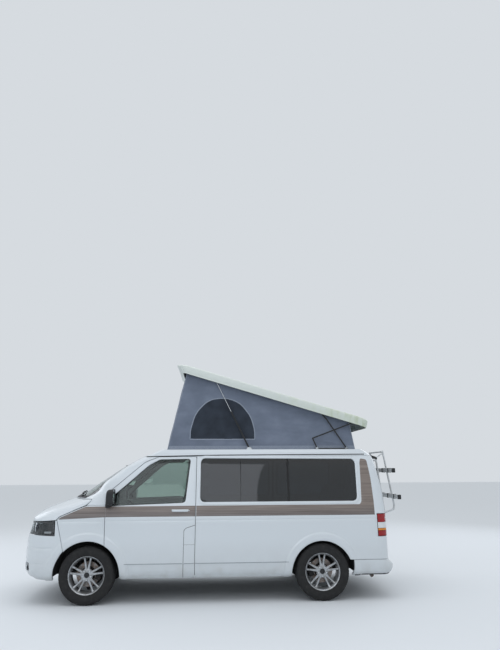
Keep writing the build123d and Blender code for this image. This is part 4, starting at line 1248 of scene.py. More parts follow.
def tail_bumper_chain():
    """The left half of the rear bumper's edge, from its top at the tail round to the arch and the sill."""
    top_end = share_from(-1757, BUMPER_TOP_Z - 2, 0)
    top = level_run(1, top_end, BUMPER_TOP_Z - 2, 90)
    a0 = math.atan2(BUMPER_TOP_Z - 2 - REAR_ARCH[1], -1757 - REAR_ARCH[0])
    turns = np.linspace(a0, math.pi + 0.08, 14)
    r0 = math.hypot(BUMPER_TOP_Z - 2 - REAR_ARCH[1], -1757 - REAR_ARCH[0])
    radius = r0 + (REAR_ARCH[2] - r0) * (turns - turns[0]) / (turns[-1] - turns[0])
    ring = np.column_stack([REAR_ARCH[0] + radius * np.cos(turns), REAR_ARCH[1] + radius * np.sin(turns)])
    foot = on_side(ring)
    run = level_run(foot[-1, 0], 1, SILL_Z, 60)
    return np.vstack([[[1.0, BUMPER_TOP_Z - 2.0]], top[:-1], foot, run])


rear = skin_panel("tail_bumper", across_tail(tail_bumper_chain()), [PAINT, TRIM], depth=34, spacing=34)
ride_for(rear, "body", "rear_bumper")
step_pad = skin_panel("tail_step_pad", tail_chart(oblong(745, -745, 489, 520, 8)), TRIM, depth=30, lift=-2,
                      spacing=60)
ride_for(step_pad)

bumper_end = share_from(-1764, 300, 0)
foot_loop = np.vstack([level_run(bumper_end, 2 - bumper_end, 292, 130),
                       level_run(2 - bumper_end, bumper_end, 309, 130)])
ride_for(skin_panel("tail_bumper_foot", tidy_loop(foot_loop), TRIM, depth=24, lift=2, spacing=80))

# Glass, each pane in its rubber, with the raised white surround of the long windows
def pane(name, chart, glass, body, node, rubber):
    """A thin pane just inside the skin, with a black fired edge behind it."""
    ride_for(skin_panel(name, chart, glass, depth=5, lift=-7, spacing=70), body, node)
    flat = to_flat(chart, False)
    inner, outer = (from_flat(inset_loop(flat, amount), False) for amount in (rubber, -4))
    ride_for(skin_panel(name + "_edge", outer, RUBBER, [inner], depth=6, lift=-13, spacing=80), body)


for sign, name in sides():
    chart = side_chart(DOOR_WINDOW, sign, -3)
    pane(f"door_pane_{name}", chart, CLEAR, f"door_{name}", f"door_{name}_glass", 14)
pane("long_pane_left", side_chart(LEFT_WINDOW, 1, 1), DARK_GLASS, "body", "side_glass", 20)
pane("slide_pane", side_chart(SLIDING_WINDOW, -1, 1), DARK_GLASS, "body", None, 20)
pane("quarter_pane", side_chart(QUARTER_WINDOW, -1, 1), DARK_GLASS, "body", None, 20)
pane("tailgate_pane", tail_chart(REAR_WINDOW, 1), DARK_GLASS, "tailgate", "tailgate_glass", 30)
pane("windscreen_pane", nose_chart(WINDSCREEN, -3), CLEAR, "body", "windscreen", 26)


for name, rows, sign in (("window_frame_left", LEFT_WINDOW, 1), ("window_frame_quarter", QUARTER_WINDOW, -1)):
    outer, inner = (side_chart(rows, sign, amount) for amount in (34, 0))
    frame_ring = skin_panel(name, outer, PAINT, [inner], depth=12, lift=6, roll=5, spacing=60)
    ride_for(frame_ring, "body", None)
for name, x, half in (("post_bar", -927, 16), ("slider_bar", -290, 5)):
    chart = side_chart(oblong(x + half, x - half, 1214, 1769))
    ride_for(skin_panel(f"left_{name}", chart, RUBBER, depth=5, lift=-6, spacing=80))

# Black rubber behind the shut lines
def gap_band(name, outer_chart, inner_chart):
    """A band of rubber behind a shut line."""
    ride_for(skin_panel(name, outer_chart, RUBBER, [inner_chart], depth=8, lift=-38, spacing=90))


def side_gap(name, rows, sign, amount, arch):
    """The band round a door, cut short of the wheel arch."""
    outer = side_chart(rows, sign, amount, (*arch[:2], arch[2] + 4))
    gap_band(name, outer, side_chart(rows, sign, -14, (*arch[:2], arch[2] + 30)))


for sign, name in sides():
    side_gap(f"door_seal_{name}", FRONT_DOOR, sign, 13, FRONT_ARCH)
side_gap("slide_seal", SLIDING_DOOR, -1, 14, REAR_ARCH)
gap_band("tailgate_seal", tail_chart(TAILGATE, 14), tail_chart(TAILGATE, -14))

# Taupe film along the flank, cut at each shut line, with its upright part behind the long window
BAND_TOP, BAND_LOW = 1168, 1038
WING_FILM = [(2044, 1015, 6), (1450, 1039, 0), (1462, 1168, 0), (1712, 1168, 20), (1806, 1130, 200),
             (2020, 1040, 20)]
DOOR_FILM = [(1449, 1039, 0), (1460, BAND_TOP, 0), (305, BAND_TOP, 0), (305, BAND_LOW, 0)]
REAR_FILM = [
    (-1880, BAND_TOP, 30), (-1902, 1212, 40), (-1921, 1700, 60), (-1935, 1762, 20), (-2020, 1748, 30),
    (-2052, 1500, 300), (-2066, 1210, 200), (-2064, 1037, 0),
]
for sign, name in sides():
    parts = [(WING_FILM, "body", "film_wing"), (DOOR_FILM, f"door_{name}", "film_door")]
    if sign > 0:
        parts.append(([(292, BAND_LOW, 0), (292, BAND_TOP, 0)] + REAR_FILM, "body", "film_flank"))
    else:
        parts.append((oblong(292, 247, BAND_LOW, BAND_TOP), "body", "film_post"))
        parts.append((oblong(232, -892, BAND_LOW, BAND_TOP), "body", "film_slide"))
        parts.append(([(-908, BAND_LOW, 0), (-908, BAND_TOP, 0)] + REAR_FILM, "body", "film_rear"))
    for rows, body, label in parts:
        film = skin_panel(f"{label}_{name}", side_chart(rows, sign), FILM, depth=2.2, lift=1.3, roll=0.8,
                          spacing=40)
        ride_for(film, body, None)

# Lamps: a clear cover over a dark housing with reflectors at the front, coloured optics at the back
def nose_x(y, z):
    """How far forward the skin lies at a half width and height."""
    share = share_from(y, z, 1)
    return float(skin_point([share], [z])[0][0][0])


def spin_lamp(name, centre, radius, depth):
    """A round reflector bowl with its rim and a bulb shield, open forwards."""
    bowl = [(4, -depth), (radius * 0.35, -depth * 0.92), (radius * 0.7, -depth * 0.6), (radius, 0),
            (radius + 5, 2), (radius + 8, 0), (radius + 8, -8), (radius * 0.75, -depth * 0.65),
            (radius * 0.38, -depth), (4, -depth - 4)]
    cap = [(0.5, -depth * 0.4), (9, -depth * 0.42), (13, -depth * 0.6), (12, -depth * 0.95),
           (0.5, -depth * 0.95)]
    return [turned(f"{name}_bowl", bowl, centre, CHROME, 48, "x"),
            turned(f"{name}_cap", cap, centre, STEEL, 24, "x")]


def headlamp_chart(step_in):
    """The headlamp's outline: along its top and down at the nose, and back along the bumper."""
    high, low = 983 - step_in, 840 + step_in
    back = nose_chain([(2455, low), (2081 + step_in, 822 + step_in), (2087 + step_in, 999 - step_in),
                       (2350, high)])
    inner_y = HEADLAMP_Y + 4 + step_in
    over = level_run(back[-1, 0], share_from(inner_y, high, 1), high, 14)
    down = np.array([(share_from(inner_y, z, 1), z) for z in np.arange(high - 7, low + 2, -8)])
    under = level_run(down[-1, 0], back[0, 0], low, 12)
    return tidy_loop(np.vstack([back, over, down, under[:-1]]))


def lamp_loop(low, high, edge=1.0):
    """The tail lamp's outline between two heights, from its front edge round to the tailgate."""
    rear = tail_edge(low, high, HALF_GAP + 1 + edge)
    front = [share_from(LAMP_FRONT_X - edge, z, 0) for z in (low, high)]
    over = level_run(rear[-1, 0], front[1], high, 14)
    under = level_run(rear[0, 0], front[0], low, 14)[::-1]
    return tidy_loop(np.vstack([rear, over, under]))


BLINKER = [(2120, 850, 6), (2124, 872, 6), (2210, 872, 6), (2215, 850, 6)]
FOG_LENS = [(0.5, 5), (18, 4.5), (33, 1), (33, -2), (18, 1), (0.5, 2)]
TAIL_OPTICS = ((774, 838, RED), (842, 866, AMBER), (870, 941, CLEAR_OPTIC), (944, 1046, RED))
brow_from, brow_to = share_from(600, 972, 1) - 0.001, share_from(2250, 972, 0)
BROW = tidy_loop(np.vstack([level_run(brow_from, brow_to, 974, 26), level_run(brow_to, brow_from, 966, 26)]))
for sign, name in sides():
    chart = flipped(headlamp_chart(0), sign)
    cover = skin_panel(f"headlamp_cover_{name}", chart, LAMP_COVER, depth=4, lift=-1.5, roll=2, spacing=40)
    ride_for(cover, "body", "lamps")
    housing = skin_panel(f"headlamp_housing_{name}", chart, TRIM, depth=6, lift=-58, roll=1, spacing=40)
    inner = flipped(headlamp_chart(5), sign)
    wall = skin_panel(f"headlamp_wall_{name}", chart, TRIM, [inner], depth=52, lift=-7, roll=0.5, spacing=60)
    pieces = [housing, wall]
    for k, (y, z, radius) in enumerate(((830, 918, 60), (672, 914, 54))):
        pieces += spin_lamp(f"headlamp_{name}_{k}", (nose_x(y, z) - 34, y * sign, z), radius, 30)
    pieces.append(skin_panel(f"headlamp_brow_{name}", flipped(BROW, sign), CHROME, depth=18, lift=-20,
                             roll=0.6, spacing=60))
    pieces.append(skin_panel(f"indicator_{name}", side_chart(BLINKER, sign), CLEAR_OPTIC, depth=14, lift=-14,
                             roll=2, spacing=30))
    ride_for(joined(f"headlamp_inside_{name}", pieces), "body", "lamps")

    # fog lamps in their dark recesses
    y, z = 768, 447
    recess_line = trace([(q * sign, w, r) for q, w, r in FOG_HOLE])
    recess = skin_panel(f"fog_recess_{name}", on_end(recess_line, False), TRIM, depth=8, lift=-24, roll=1,
                        spacing=40)
    centre = (nose_x(y + 20, z) - 4, y * sign, z)
    fog = joined(f"fog_lamp_{name}", [recess] + spin_lamp(f"fog_{name}", centre, 34, 24))
    ride_for(fog, "body", "lamps")
    lens = turned(f"fog_lens_{name}", FOG_LENS, centre, LAMP_COVER, 40, "x")
    ride_for(lens, "body", "lamps")

    # tail lamp: red, amber and clear lenses on a dark back
    back = flipped(lamp_loop(771, 1048), sign)
    pieces = [skin_panel(f"tail_lamp_back_{name}", back, TRIM, depth=6, lift=-34, roll=1, spacing=60)]
    pieces.append(skin_panel(f"tail_lamp_wall_{name}", back, TRIM, [flipped(lamp_loop(776, 1043, 6), sign)],
                             depth=30, lift=-4, roll=0.5, spacing=80))
    for k, (low, high, optic) in enumerate(TAIL_OPTICS):
        pieces.append(skin_panel(f"tail_optic_{name}_{k}", flipped(lamp_loop(low, high, 5), sign), optic,
                                 depth=8, lift=0.5, roll=2, spacing=40))
    ride_for(joined(f"tail_lamp_optics_{name}", pieces), "body", "lamps")

# Grille: bars across the openings, a dark core behind them, and the blank front plate
NOSE_BARS = (
    (440, 455, 505), (478, 493, 510), (516, 531, 520), (554, 569, 530), (862, 878, 520), (898, 914, 520),
    (934, 950, 520),
)
nose_bits = []
for k, (low, high, half) in enumerate(NOSE_BARS):
    bar = nose_chart(both_ends([(half, low, 3), (half, high, 3)]))
    nose_bits.append(skin_panel(f"grille_bar_{k}", bar, TRIM, depth=16, lift=-8, roll=3, spacing=60))
for k, (rows, middle) in enumerate(((GRILLE, 915), (INTAKE, 500))):
    back = nose_chart([(y * 1.02, z + (8 if z > middle else -8), r) for y, z, r in rows])
    nose_bits.append(skin_panel(f"grille_back_{k}", back, RUBBER, depth=8, lift=-44, roll=1, spacing=80))
ride_for(joined("grille_bars", nose_bits), "body", "front_bumper")
strip_bits = []
for k, z in enumerate((880, 916)):
    strip = nose_chart(both_ends([(520, z, 1), (520, z + 3.5, 1)]))
    strip_bits.append(skin_panel(f"grille_strip_{k}", strip, CHROME, depth=4, lift=-6, roll=1, spacing=80))
ride_for(joined("grille_strips", strip_bits), "body", None)


def blank_plate(name, x, z, way, body):
    """A blank plate on its dark holder, which looks forwards where way is 1 and backwards where it is -1."""
    bits = [pressed(f"{name}_sheet", oblong(260, -260, -56, 56, 10), "end", 3, 6, PLATE, 1),
            pressed(f"{name}_holder", oblong(268, -268, -64, 64, 10), "end", -14, 3.4, TRIM, 1.5)]
    for y0, y1, z0, z1 in ((-257, 257, 50, 53), (-257, 257, -53, -50), (-257, -254, -50, 50),
                           (254, 257, -50, 50)):
        bits.append(pressed(f"{name}_rim", oblong(y1, y0, z0, z1), "end", 5.5, 7.5, PLATE, 0.8))
    whole = joined(name, bits)
    turn = Matrix.Rotation(0 if way > 0 else math.pi, 4, "Z")
    whole.data.transform(Matrix.Translation((x * MM, 0, z * MM)) @ turn)
    ride_for(whole, body, None)


# Mirrors: a shell with its glass, its arm and the triangle at the door's front corner
MIRROR_END = [(962, 1190, 35), (1141, 1190, 50), (1141, 1385, 50), (985, 1385, 45)]
MIRROR_RINGS = [
    (1350, 0.93), (1337, 0.93), (1335, 1.0), (1337, 1.0), (1362, 1.0), (1395, 0.97), (1414, 0.9),
    (1426, 0.76),
    (1431, 0.55), (1432, 0.2),
]


def mirror_shell():
    """The left mirror's shell as rings from inside its open rear edge to its rounded front, and its glass."""
    line = trace(MIRROR_END, step=14)
    centre = line.mean(axis=0)
    rings = [[(x, y, z) for y, z in centre + (line - centre) * share] for x, share in MIRROR_RINGS]
    glass_line = centre + (line - centre) * 0.9
    glass = pressed("mirror_glass", [(y, z) for y, z in glass_line[::2]], "end", 1342, 1345, MIRROR_GLASS, 0)
    return lofted("mirror_shell", rings, TRIM), glass


shell_piece, mirror_glass = mirror_shell()
arm = pressed("mirror_arm", [(1398, 1150, 14), (1402, 1214, 16), (1452, 1212, 14), (1452, 1150, 14)], "side",
              928, 984, TRIM, 8)
neck = pressed("mirror_neck", [(1372, 1168, 14), (1376, 1212, 14), (1440, 1212, 20), (1448, 1152, 14)],
               "side", 962, 1010, TRIM, 10)
fold = turned("mirror_fold", [(14, -8), (20, -6), (20, 8), (14, 10)], (1420, 985, 1206), TRIM, 24, "z")
head = joined("door_mirror_left", [shell_piece, arm, neck, fold])
CORNER = [(1454, 1178, 4), (1322, 1180, 8), (1334, 1214, 8), (1420, 1262, 30), (1454, 1196, 6)]
triangle = skin_panel("mirror_corner_left", side_chart(CORNER), TRIM, depth=18, lift=8, roll=4, spacing=30)
for thing, slot_name in ((head, "dark_plastic"), (mirror_glass, "bright_steel"), (triangle, "dark_plastic")):
    right = other_hand(thing, thing.name.replace("_left", "") + "_right")
    ride_for(thing, "door_left", None)
    ride_for(right, "door_right", None)

# Door handles: a bowl pressed into the skin and a bar over it
HANDLE_LENGTH = 190


def handle(name, centre_x, centre_z, sign, body):
    """A pull handle along the flank with its bowl, its bar and its lock."""
    length = HANDLE_LENGTH
    rows = [(centre_x + length * 0.5, centre_z - 30, 26), (centre_x + length * 0.42, centre_z + 30, 26),
            (centre_x - length * 0.42, centre_z + 30, 26), (centre_x - length * 0.5, centre_z - 30, 26)]
    bowl = skin_panel(f"{name}_bowl", side_chart(rows, sign), PAINT, depth=2, lift=1.2, roll=1, spacing=20)
    centre_y = float(np.mean([v.co.y for v in bowl.data.vertices])) / MM
    for vertex in bowl.data.vertices:
        away = math.hypot((vertex.co.x / MM - centre_x) / (length * 0.36), (vertex.co.z / MM - centre_z) / 26)
        vertex.co.y -= sign * 7 * MM * float(1 - ease(away, 0.45, 1.0))
    top = abs(centre_y) + 2
    path = []
    for t in np.linspace(0, 1, 15):
        rise = 18 * math.sin(math.pi * t) ** 0.35
        path.append((centre_x + length * (0.56 - 1.12 * t), sign * (top - 9 + rise), centre_z + 12))
    bar = drawn(f"{name}_bar", path, 7, PAINT, 14, flat=15)
    lock = turned(f"{name}_lock", [(0.5, 4 * sign), (7, 4 * sign), (8.5, 2 * sign), (8.5, -4 * sign)],
                  (centre_x - length * 0.62, sign * (top - 1), centre_z + 10), STEEL, 20)
    ride_for(joined(name, [bowl, bar, lock]), body, None)


handle("door_handle_left", 500, 1098, 1, "door_left")
handle("door_handle_right", 500, 1098, -1, "door_right")
handle("slide_handle", 150, 1098, -1, "body")

# Rail cover of the sliding door along the right rear flank, and the edges of the service flaps
rail = oblong(-912, -1880, 1184, 1203, 4)
ride_for(skin_panel("slide_rail", side_chart(rail, -1), RUBBER, depth=4, lift=1.5, roll=1, spacing=60))


def flap_line(name, rows, width, sign, body, material):
    """A narrow dark line along the skin."""
    line = trace(rows, closed=False, step=14)
    along = np.gradient(line, axis=0)
    across_line = np.column_stack([-along[:, 1], along[:, 0]]) / np.hypot(*along.T)[:, None]
    loop = np.vstack([line + across_line * width / 2, (line - across_line * width / 2)[::-1]])
    strip = skin_panel(name, flipped(on_side(loop), sign), material, depth=1.6, lift=0.9, roll=0.3,
                       spacing=200)
    ride_for(strip, body)


FLAP = [(447, 296), (445, 868, 26), (418, 896, 40), (306, 931)]
flap_line("service_flap_edge", FLAP, 5, 1, "door_left", RUBBER)
flap_line("service_flap_split", [(441, 696), (306, 696)], 2.4, 1, "door_left", RUBBER)
flap_line("service_flap_edge_right", FLAP, 5, -1, "door_right", RUBBER)

# Painted shade: a grey line over the sill's step stands for its shadow, drawn on each panel that it crosses
for sign, side_name in sides():
    runs = [(1188, 460, f"door_{side_name}"), (434, 308, f"door_{side_name}")]
    runs += [(292, -905, "body")] if sign > 0 else [(292, 247, "body"), (232, -890, "body")]
    for k, (x0, x1, body) in enumerate(runs):
        rows = [(x0, 473), ((x0 + x1) / 2, 473), (x1, 473)]
        flap_line(f"step_line_{side_name}_{k}", rows, 5, sign, body, STEP_SHADE)

# Wheels: tyre with its ribs and cross grooves, alloy rim with five pairs of spokes, bolts, valve
TYRE_HALF = (TYRE_HIGH[1] - TYRE_LOW[1]) / 2
PITCHES = 62


def tyre_form(name):
    """A tyre about the origin, its axis along y, with three wide grooves and sipes across its ribs."""
    r, h = TYRE_RADIUS, TYRE_HALF
    half = [(217, 86), (229, 98), (233, 104), (238, 108.5), (243, 108), (250, 110.5), (262, 113.5),
            (276, 116.5), (292, h - 0.2), (306, 115.6), (318, 112.8), (327, 109), (334, 104.5), (339.5, 99),
            (343, 92), (r - 1.2, 84), (r - 0.5, 70), (r - 0.4, 66.5), (r - 8, 64.5), (r - 8, 57),
            (r - 0.3, 55), (r - 0.1, 26.5), (r - 8, 24.5), (r - 8, 17), (r, 15)]
    rows = [(radius, -out, k) for k, (radius, out) in enumerate(half)]
    rows += [(radius, out, k) for k, (radius, out) in reversed(list(enumerate(half)))]
    marks = [0.0, 0.03, 0.13, 0.16, 0.60, 0.63, 0.70, 0.73]
    points = []
    for pitch in range(PITCHES):
        for mark_index, mark in enumerate(marks):
            turn = 2 * math.pi * (pitch + mark) / PITCHES
            for radius, out, k in rows:
                drop = 0.0
                if mark_index in (1, 2) and 13 <= k <= 16:
                    drop = 6.5
                if mark_index in (1, 2) and k in (11, 12):
                    drop = 3.0
                if mark_index in (5, 6) and k in (20, 21, 24):
                    drop = 6.0
                bow = 0.25 * math.sin(out / h * 2.2) * 2 * math.pi / PITCHES if k >= 13 else 0
                reach = radius - drop
                points.append((reach * math.cos(turn + bow), out, reach * math.sin(turn + bow)))
    faces = ring_faces(PITCHES * len(marks), len(rows), shut=True)
    return outward(new_object(name, points, faces, TREAD))


def spoke_form(name, angle):
    """One spoke from the hub to the rim, dished between them."""
    sections = [(42, 17, 40, 69), (75, 15.5, 36, 66), (110, 13, 34, 62), (150, 11.5, 34, 61),
                (180, 11, 36, 64), (203, 13, 40, 72), (212, 16, 44, 80)]
    rings = []
    for radius, half, low, high in sections:
        rings.append([(radius * math.cos(angle) - over * math.sin(angle), out,
                       radius * math.sin(angle) + over * math.cos(angle))
                      for over, out in ((-half, low), (-half, high - 5), (-half * 0.62, high),
                                        (half * 0.62, high), (half, high - 5), (half, low))])
    return lofted(name, rings, ALLOY)


def rim_form(name):
    """The alloy rim about the origin, its axis along y."""
    barrel = [(229, 97), (229, 92), (219, 86), (217, 74), (205, 60), (203, 30), (205, -40), (214, -66),
              (217, -80), (219, -88), (229, -94), (229, -97), (210, -96), (207, -80), (198, -40), (196, 30),
              (198, 58), (207, 74), (212, 84), (217, 91), (223, 95.5), (226, 97)]
    things = [turned(f"{name}_barrel", barrel, (0, 0, 0), ALLOY, 96)]
    for pair in range(5):
        for lean in (-11, 11):
            things.append(spoke_form(f"{name}_spoke", math.radians(pair * 72 + 90 + lean)))
    hub = [(0.5, 30), (0.5, 66), (30, 66), (34, 69.5), (46, 70), (60, 69), (74, 66), (79, 60), (79, 38),
           (70, 30)]
    things.append(turned(f"{name}_hub", hub, (0, 0, 0), ALLOY, 60))
    cap = [(0.5, 74.5), (22, 74), (29, 72), (32, 68.5), (32, 60), (0.5, 60)]
    things.append(turned(f"{name}_cap", cap, (0, 0, 0), TRIM, 40))
    valve_turn = math.radians(54)
    at = np.array([201 * math.cos(valve_turn), 70, 201 * math.sin(valve_turn)])
    way = np.array([-math.cos(valve_turn) * 0.35, 0.94, -math.sin(valve_turn) * 0.35])
    things.append(drawn(f"{name}_valve", [at - way * 12, at, at + way * 14, at + way * 16], 4.5, TRIM, 10))
    bolts = []
    for k in range(5):
        turn = math.radians(72 * k + 54)
        bolts.append(((56 * math.cos(turn), 68, 56 * math.sin(turn)), 1))
        well = [(12.5, 69.6), (12.5, 60), (15.5, 60), (16, 70.3), (14.5, 70.8)]
        things.append(turned(f"{name}_well", well, (56 * math.cos(turn), 0, 56 * math.sin(turn)), TRIM, 24))
    things.append(hexagons(f"{name}_bolts", bolts, "y", 11, 9, STEEL))
    return joined(name, things)


first_tyre = tyre_form("tyre_form")
first_rim = rim_form("rim_form")
for axle, axle_x in (("front", FRONT_AXLE_X), ("rear", REAR_AXLE_X)):
    for sign, side_name in sides():
        turn = Matrix.Translation((axle_x * MM, sign * HALF_TRACK * MM, HUB_Z * MM))
        turn = turn @ Matrix.Rotation(0 if sign > 0 else math.pi, 4, "Z")
        for pattern, kind, slot_name in ((first_tyre, "tyre", "tyre_rubber"),
                                         (first_rim, "rim", "wheel_alloy")):
            mesh = pattern.data.copy()
            mesh.transform(turn)
            wheel_piece = linked(f"{kind}_{axle}_{side_name}_made", mesh)
            ride_for(wheel_piece, f"wheel_{axle}_{side_name}", f"{kind}_{axle}_{side_name}")
        # brake disc with its bright ring and the caliper ahead of or behind it
        body = f"knuckle_{side_name}" if axle == "front" else "body"
        centre = (axle_x, sign * 784, HUB_Z)
        disc_rows = [(92, 0), (92, 3), (149, 3), (149.5, 0)]
        ring = turned(f"disc_{axle}_{side_name}", [(r, h * sign) for r, h in disc_rows], centre, DISC, 72)
        bell_rows = [(40, 0), (40, 20), (74, 20), (80, 14), (82, 0)]
        bell = turned(f"bell_{axle}_{side_name}", [(r, h * sign) for r, h in bell_rows], centre, IRON, 48)
        back = 1 if axle == "rear" else -1
        caliper_rows = []
        for reach, turns in ((104, np.linspace(-0.55, 0.55, 8)), (166, np.linspace(0.5, -0.5, 8))):
            for t in turns:
                caliper_rows.append((axle_x + back * reach * math.cos(t), HUB_Z + reach * math.sin(t), 0))
        caliper = pressed(f"caliper_{axle}_{side_name}", caliper_rows, "side", sign * 742, sign * 812, IRON,
                          6)
        ride_for(joined(f"brake_{axle}_{side_name}", [ring, bell, caliper]), body, None)
for pattern in (first_tyre, first_rim):
    bpy.data.objects.remove(pattern)

# The pop-top's lid, in its own level coordinates: along from its rear edge, across, and up
LID_TILT = math.radians(16.5)
LID_REAR = (-2110, 2290)
LID_LENGTH, LID_HALF, LID_TAPER, LID_DEPTH, LID_SKIRT, LID_SKIN = 2855, 812, 10, 115, 22, 30


def lid_place(points):
    """Lid coordinates turned up to where the lid stands open."""
    points = np.asarray(points, float)
    x = LID_REAR[0] + points[:, 0] * math.cos(LID_TILT) - points[:, 2] * math.sin(LID_TILT)
    z = LID_REAR[1] + points[:, 0] * math.sin(LID_TILT) + points[:, 2] * math.cos(LID_TILT)
    return np.column_stack([x, points[:, 1], z])


def slanted(ring, down):
    """A ring of the skirt, which slants back under the nose."""
    slant = np.maximum(0, ring[:, 0] - (LID_LENGTH - 300)) / 300
    back = slant ** 2 * 150 * np.clip(-down / LID_DEPTH, 0, 1)
    return np.column_stack([ring[:, 0] - back, ring[:, 1]])


def crown(p):
    """Height of the lid's top over its plan."""
    side_fall = (np.abs(p[:, 1]) / LID_HALF) ** 2.4
    nose_fall = ease(p[:, 0], LID_LENGTH - 215, LID_LENGTH + 25)
    tail_fall = 1 - ease(p[:, 0], -30, 160)
    return 17 - 12 * side_fall - 24.5 * nose_fall - 8 * tail_fall


LID_PLAN = trace([(-8, LID_HALF - 1, 130), (LID_LENGTH - 2, LID_HALF - LID_TAPER - 1, 170),
                  (LID_LENGTH - 2, 1 + LID_TAPER - LID_HALF, 170), (-8, 1 - LID_HALF, 130)], step=36)
LID_OUT = np.roll(LID_PLAN, -1, axis=0) - np.roll(LID_PLAN, 1, axis=0)
LID_OUT = np.column_stack([LID_OUT[:, 1], -LID_OUT[:, 0]]) / np.hypot(*LID_OUT.T)[:, None]
if loop_area(LID_PLAN) < 0:
    LID_OUT = -LID_OUT
# Each ring's inset from the plan and its depth below the top
LID_RINGS = [
    (46, 0.0), (30, -1.0), (18, -3.5), (8, -9), (2.5, -17), (0.5, -27), (0, -42), (0, -92), (1.5, -96),
    (1.5, -101),
    (0.5, -104), (1.5, -112), (5, -115), (LID_SKIRT - 4, -115), (LID_SKIRT, -111), (LID_SKIRT + 3, -45),
    (LID_SKIRT + 14, -LID_SKIN),
]


def lid_form():
    """The lid: crowned top, rolled edge, slanting skirt, and the hollow beneath."""
    count = len(LID_PLAN)
    points = []
    for inset, down in LID_RINGS:
        ring = LID_PLAN - LID_OUT * inset
        level = crown(ring) if down > -10 else crown(LID_PLAN - LID_OUT * 8)
        share = 1 if down > -10 else max(0, (down + 60) / 50)
        points.append(np.column_stack([slanted(ring, down), (level + down) * share + down * (1 - share)]))
    faces = ring_faces(len(LID_RINGS), count)
    marks = [0] * len(faces)
    verts = np.vstack(points)
    # top and ceiling as sheets cut inside the first and the last ring
    for ring_index, mark in ((0, 0), (len(LID_RINGS) - 1, 1)):
        ring = points[ring_index][:, :2]
        low, high = ring.min(axis=0) + 30, ring.max(axis=0) - 20
        grid = square_grid(np.arange(low[0], high[0], 45), np.arange(low[1], high[1], 45))
        flat, sheet, place = filled([ring], grid[is_inside(grid, inset_loop(ring, 24))])
        base = len(verts)
        on_ring = {new: ring_index * count + old for old, new in place.items()}
        height = crown(flat) if mark == 0 else np.full(len(flat), -float(LID_SKIN))
        verts = np.vstack([verts, np.column_stack([flat, height])])
        faces += [tuple(on_ring.get(i, base + i) for i in f) for f in sheet.tolist()]
        marks += [mark] * len(sheet)
    return outward(new_object("lid_shell", lid_place(verts), faces, [LID, LID_INSIDE], marks), 38, loose=True)


ride_for(lid_form(), "roof_panel", "roof_panel")
seal_rings = []
for inset, down in ((7, -104), (7, -116.5), (20, -116.5), (20, -104)):
    ring = slanted(LID_PLAN - LID_OUT * inset, down)
    seal_rings.append(np.column_stack([ring, np.full(len(ring), float(down))]))
seal_faces = ring_faces(4, len(LID_PLAN), shut=True)
ride_for(outward(new_object("lid_seal", lid_place(np.vstack(seal_rings)), seal_faces, RUBBER)), "roof_panel")

# lugs that carry the links and bars with their pins, and the latches at the nose
lid_bits = []
for sign, side_name in sides():
    for along, low_y, high_y, pin_low, pin_high in ((664, 728, 734, 733, 747), (207, 764, 770, 751, 765)):
        rows = [(along - 34, 4 - LID_SKIN, 3), (along - 10, -107, 7), (along + 10, -107, 7),
                (along + 34, 4 - LID_SKIN, 3)]
        pin = [(along, sign * y, -100) for y in np.linspace(pin_low, pin_high, 3)]
        lid_bits.append(pressed("lug", rows, "side", sign * low_y, sign * high_y, BLACK_COAT, 1))
        lid_bits.append(drawn("lug_pin", pin, 4, STEEL, 16))
    rows = [(2665, -96, 4), (2648, -117, 6), (2618, -117, 6), (2636, -96, 4)]
    lid_bits.append(pressed("latch", rows, "side", sign * 470 - 16, sign * 470 + 16, BLACK_COAT, 3))
brackets = joined("lid_brackets", lid_bits)
points = np.array([v.co for v in brackets.data.vertices]) / MM
for vertex, point in zip(brackets.data.vertices, lid_place(points)):
    vertex.co = point * MM
ride_for(brackets, "roof_panel", None)

# The tent between the roof ledge and the lid: one stretched skin round four sides, with its seams and windows
TENT_HALF = 712
TENT_FRONT, TENT_REAR = (716, 462), (-1910, -1834)
TENT_LOW, TENT_FRONT_TOP, TENT_REAR_TOP = 1889, 3012, 2335


def tent_top(x):
    """Height of the tent's upper edge under the lid."""
    rise = TENT_FRONT_TOP - TENT_REAR_TOP
    return TENT_FRONT_TOP + (x - TENT_FRONT[1]) * rise / (TENT_FRONT[1] - TENT_REAR[1])


HALF_MOON = [(399, 2032, 6), (399, 2150, 400), (330, 2390, 400), (150, 2575, 400), (-68, 2600, 400),
             (-280, 2540, 400), (-440, 2340, 400), (-491, 2150, 400), (-491, 2032, 6)]


def crease(x, z, start, end, width, height):
    """A soft fold along a line from start to end, fading at both ends."""
    start, end = np.asarray(start, float), np.asarray(end, float)
    along = end - start
    span = np.hypot(*along)
    along = along / span
    s = (x - start[0]) * along[0] + (z - start[1]) * along[1]
    across_line = -(x - start[0]) * along[1] + (z - start[1]) * along[0]
    sag = 26 * np.sin(np.clip(s / span, 0, 1) * math.pi)
    fade = ease(s, 0, span * 0.3) * (1 - ease(s, span * 0.65, span))
    return height * fade * np.exp(-((across_line + sag) / width) ** 2)


CREASES = [
    ((-455, 2300), (-1500, 2190), 22, 5.5), ((-470, 2240), (-1560, 2150), 16, -4.0),
    ((-420, 2400), (-1250, 2330), 26, 5.0), ((-480, 2180), (-1350, 2085), 18, 4.5),
    ((-480, 2100), (-1150, 2010), 16, -3.5), ((-300, 2560), (-900, 2520), 22, 4.0),
    ((420, 2120), (640, 1960), 14, 4.0), ((380, 2420), (560, 2560), 16, 4.0),
    ((405, 2250), (620, 2180), 16, -3.0),
    ((300, 2480), (420, 2760), 18, 3.5), ((-150, 2600), (-60, 2800), 20, 3.5),
    ((80, 2600), (190, 2840), 18, -3.0),
    ((-1100, 2240), (-1780, 2300), 22, 4.0), ((-1200, 2010), (-1800, 1930), 16, 3.5),
    ((-900, 2420), (-1500, 2360), 22, -3.5),
]


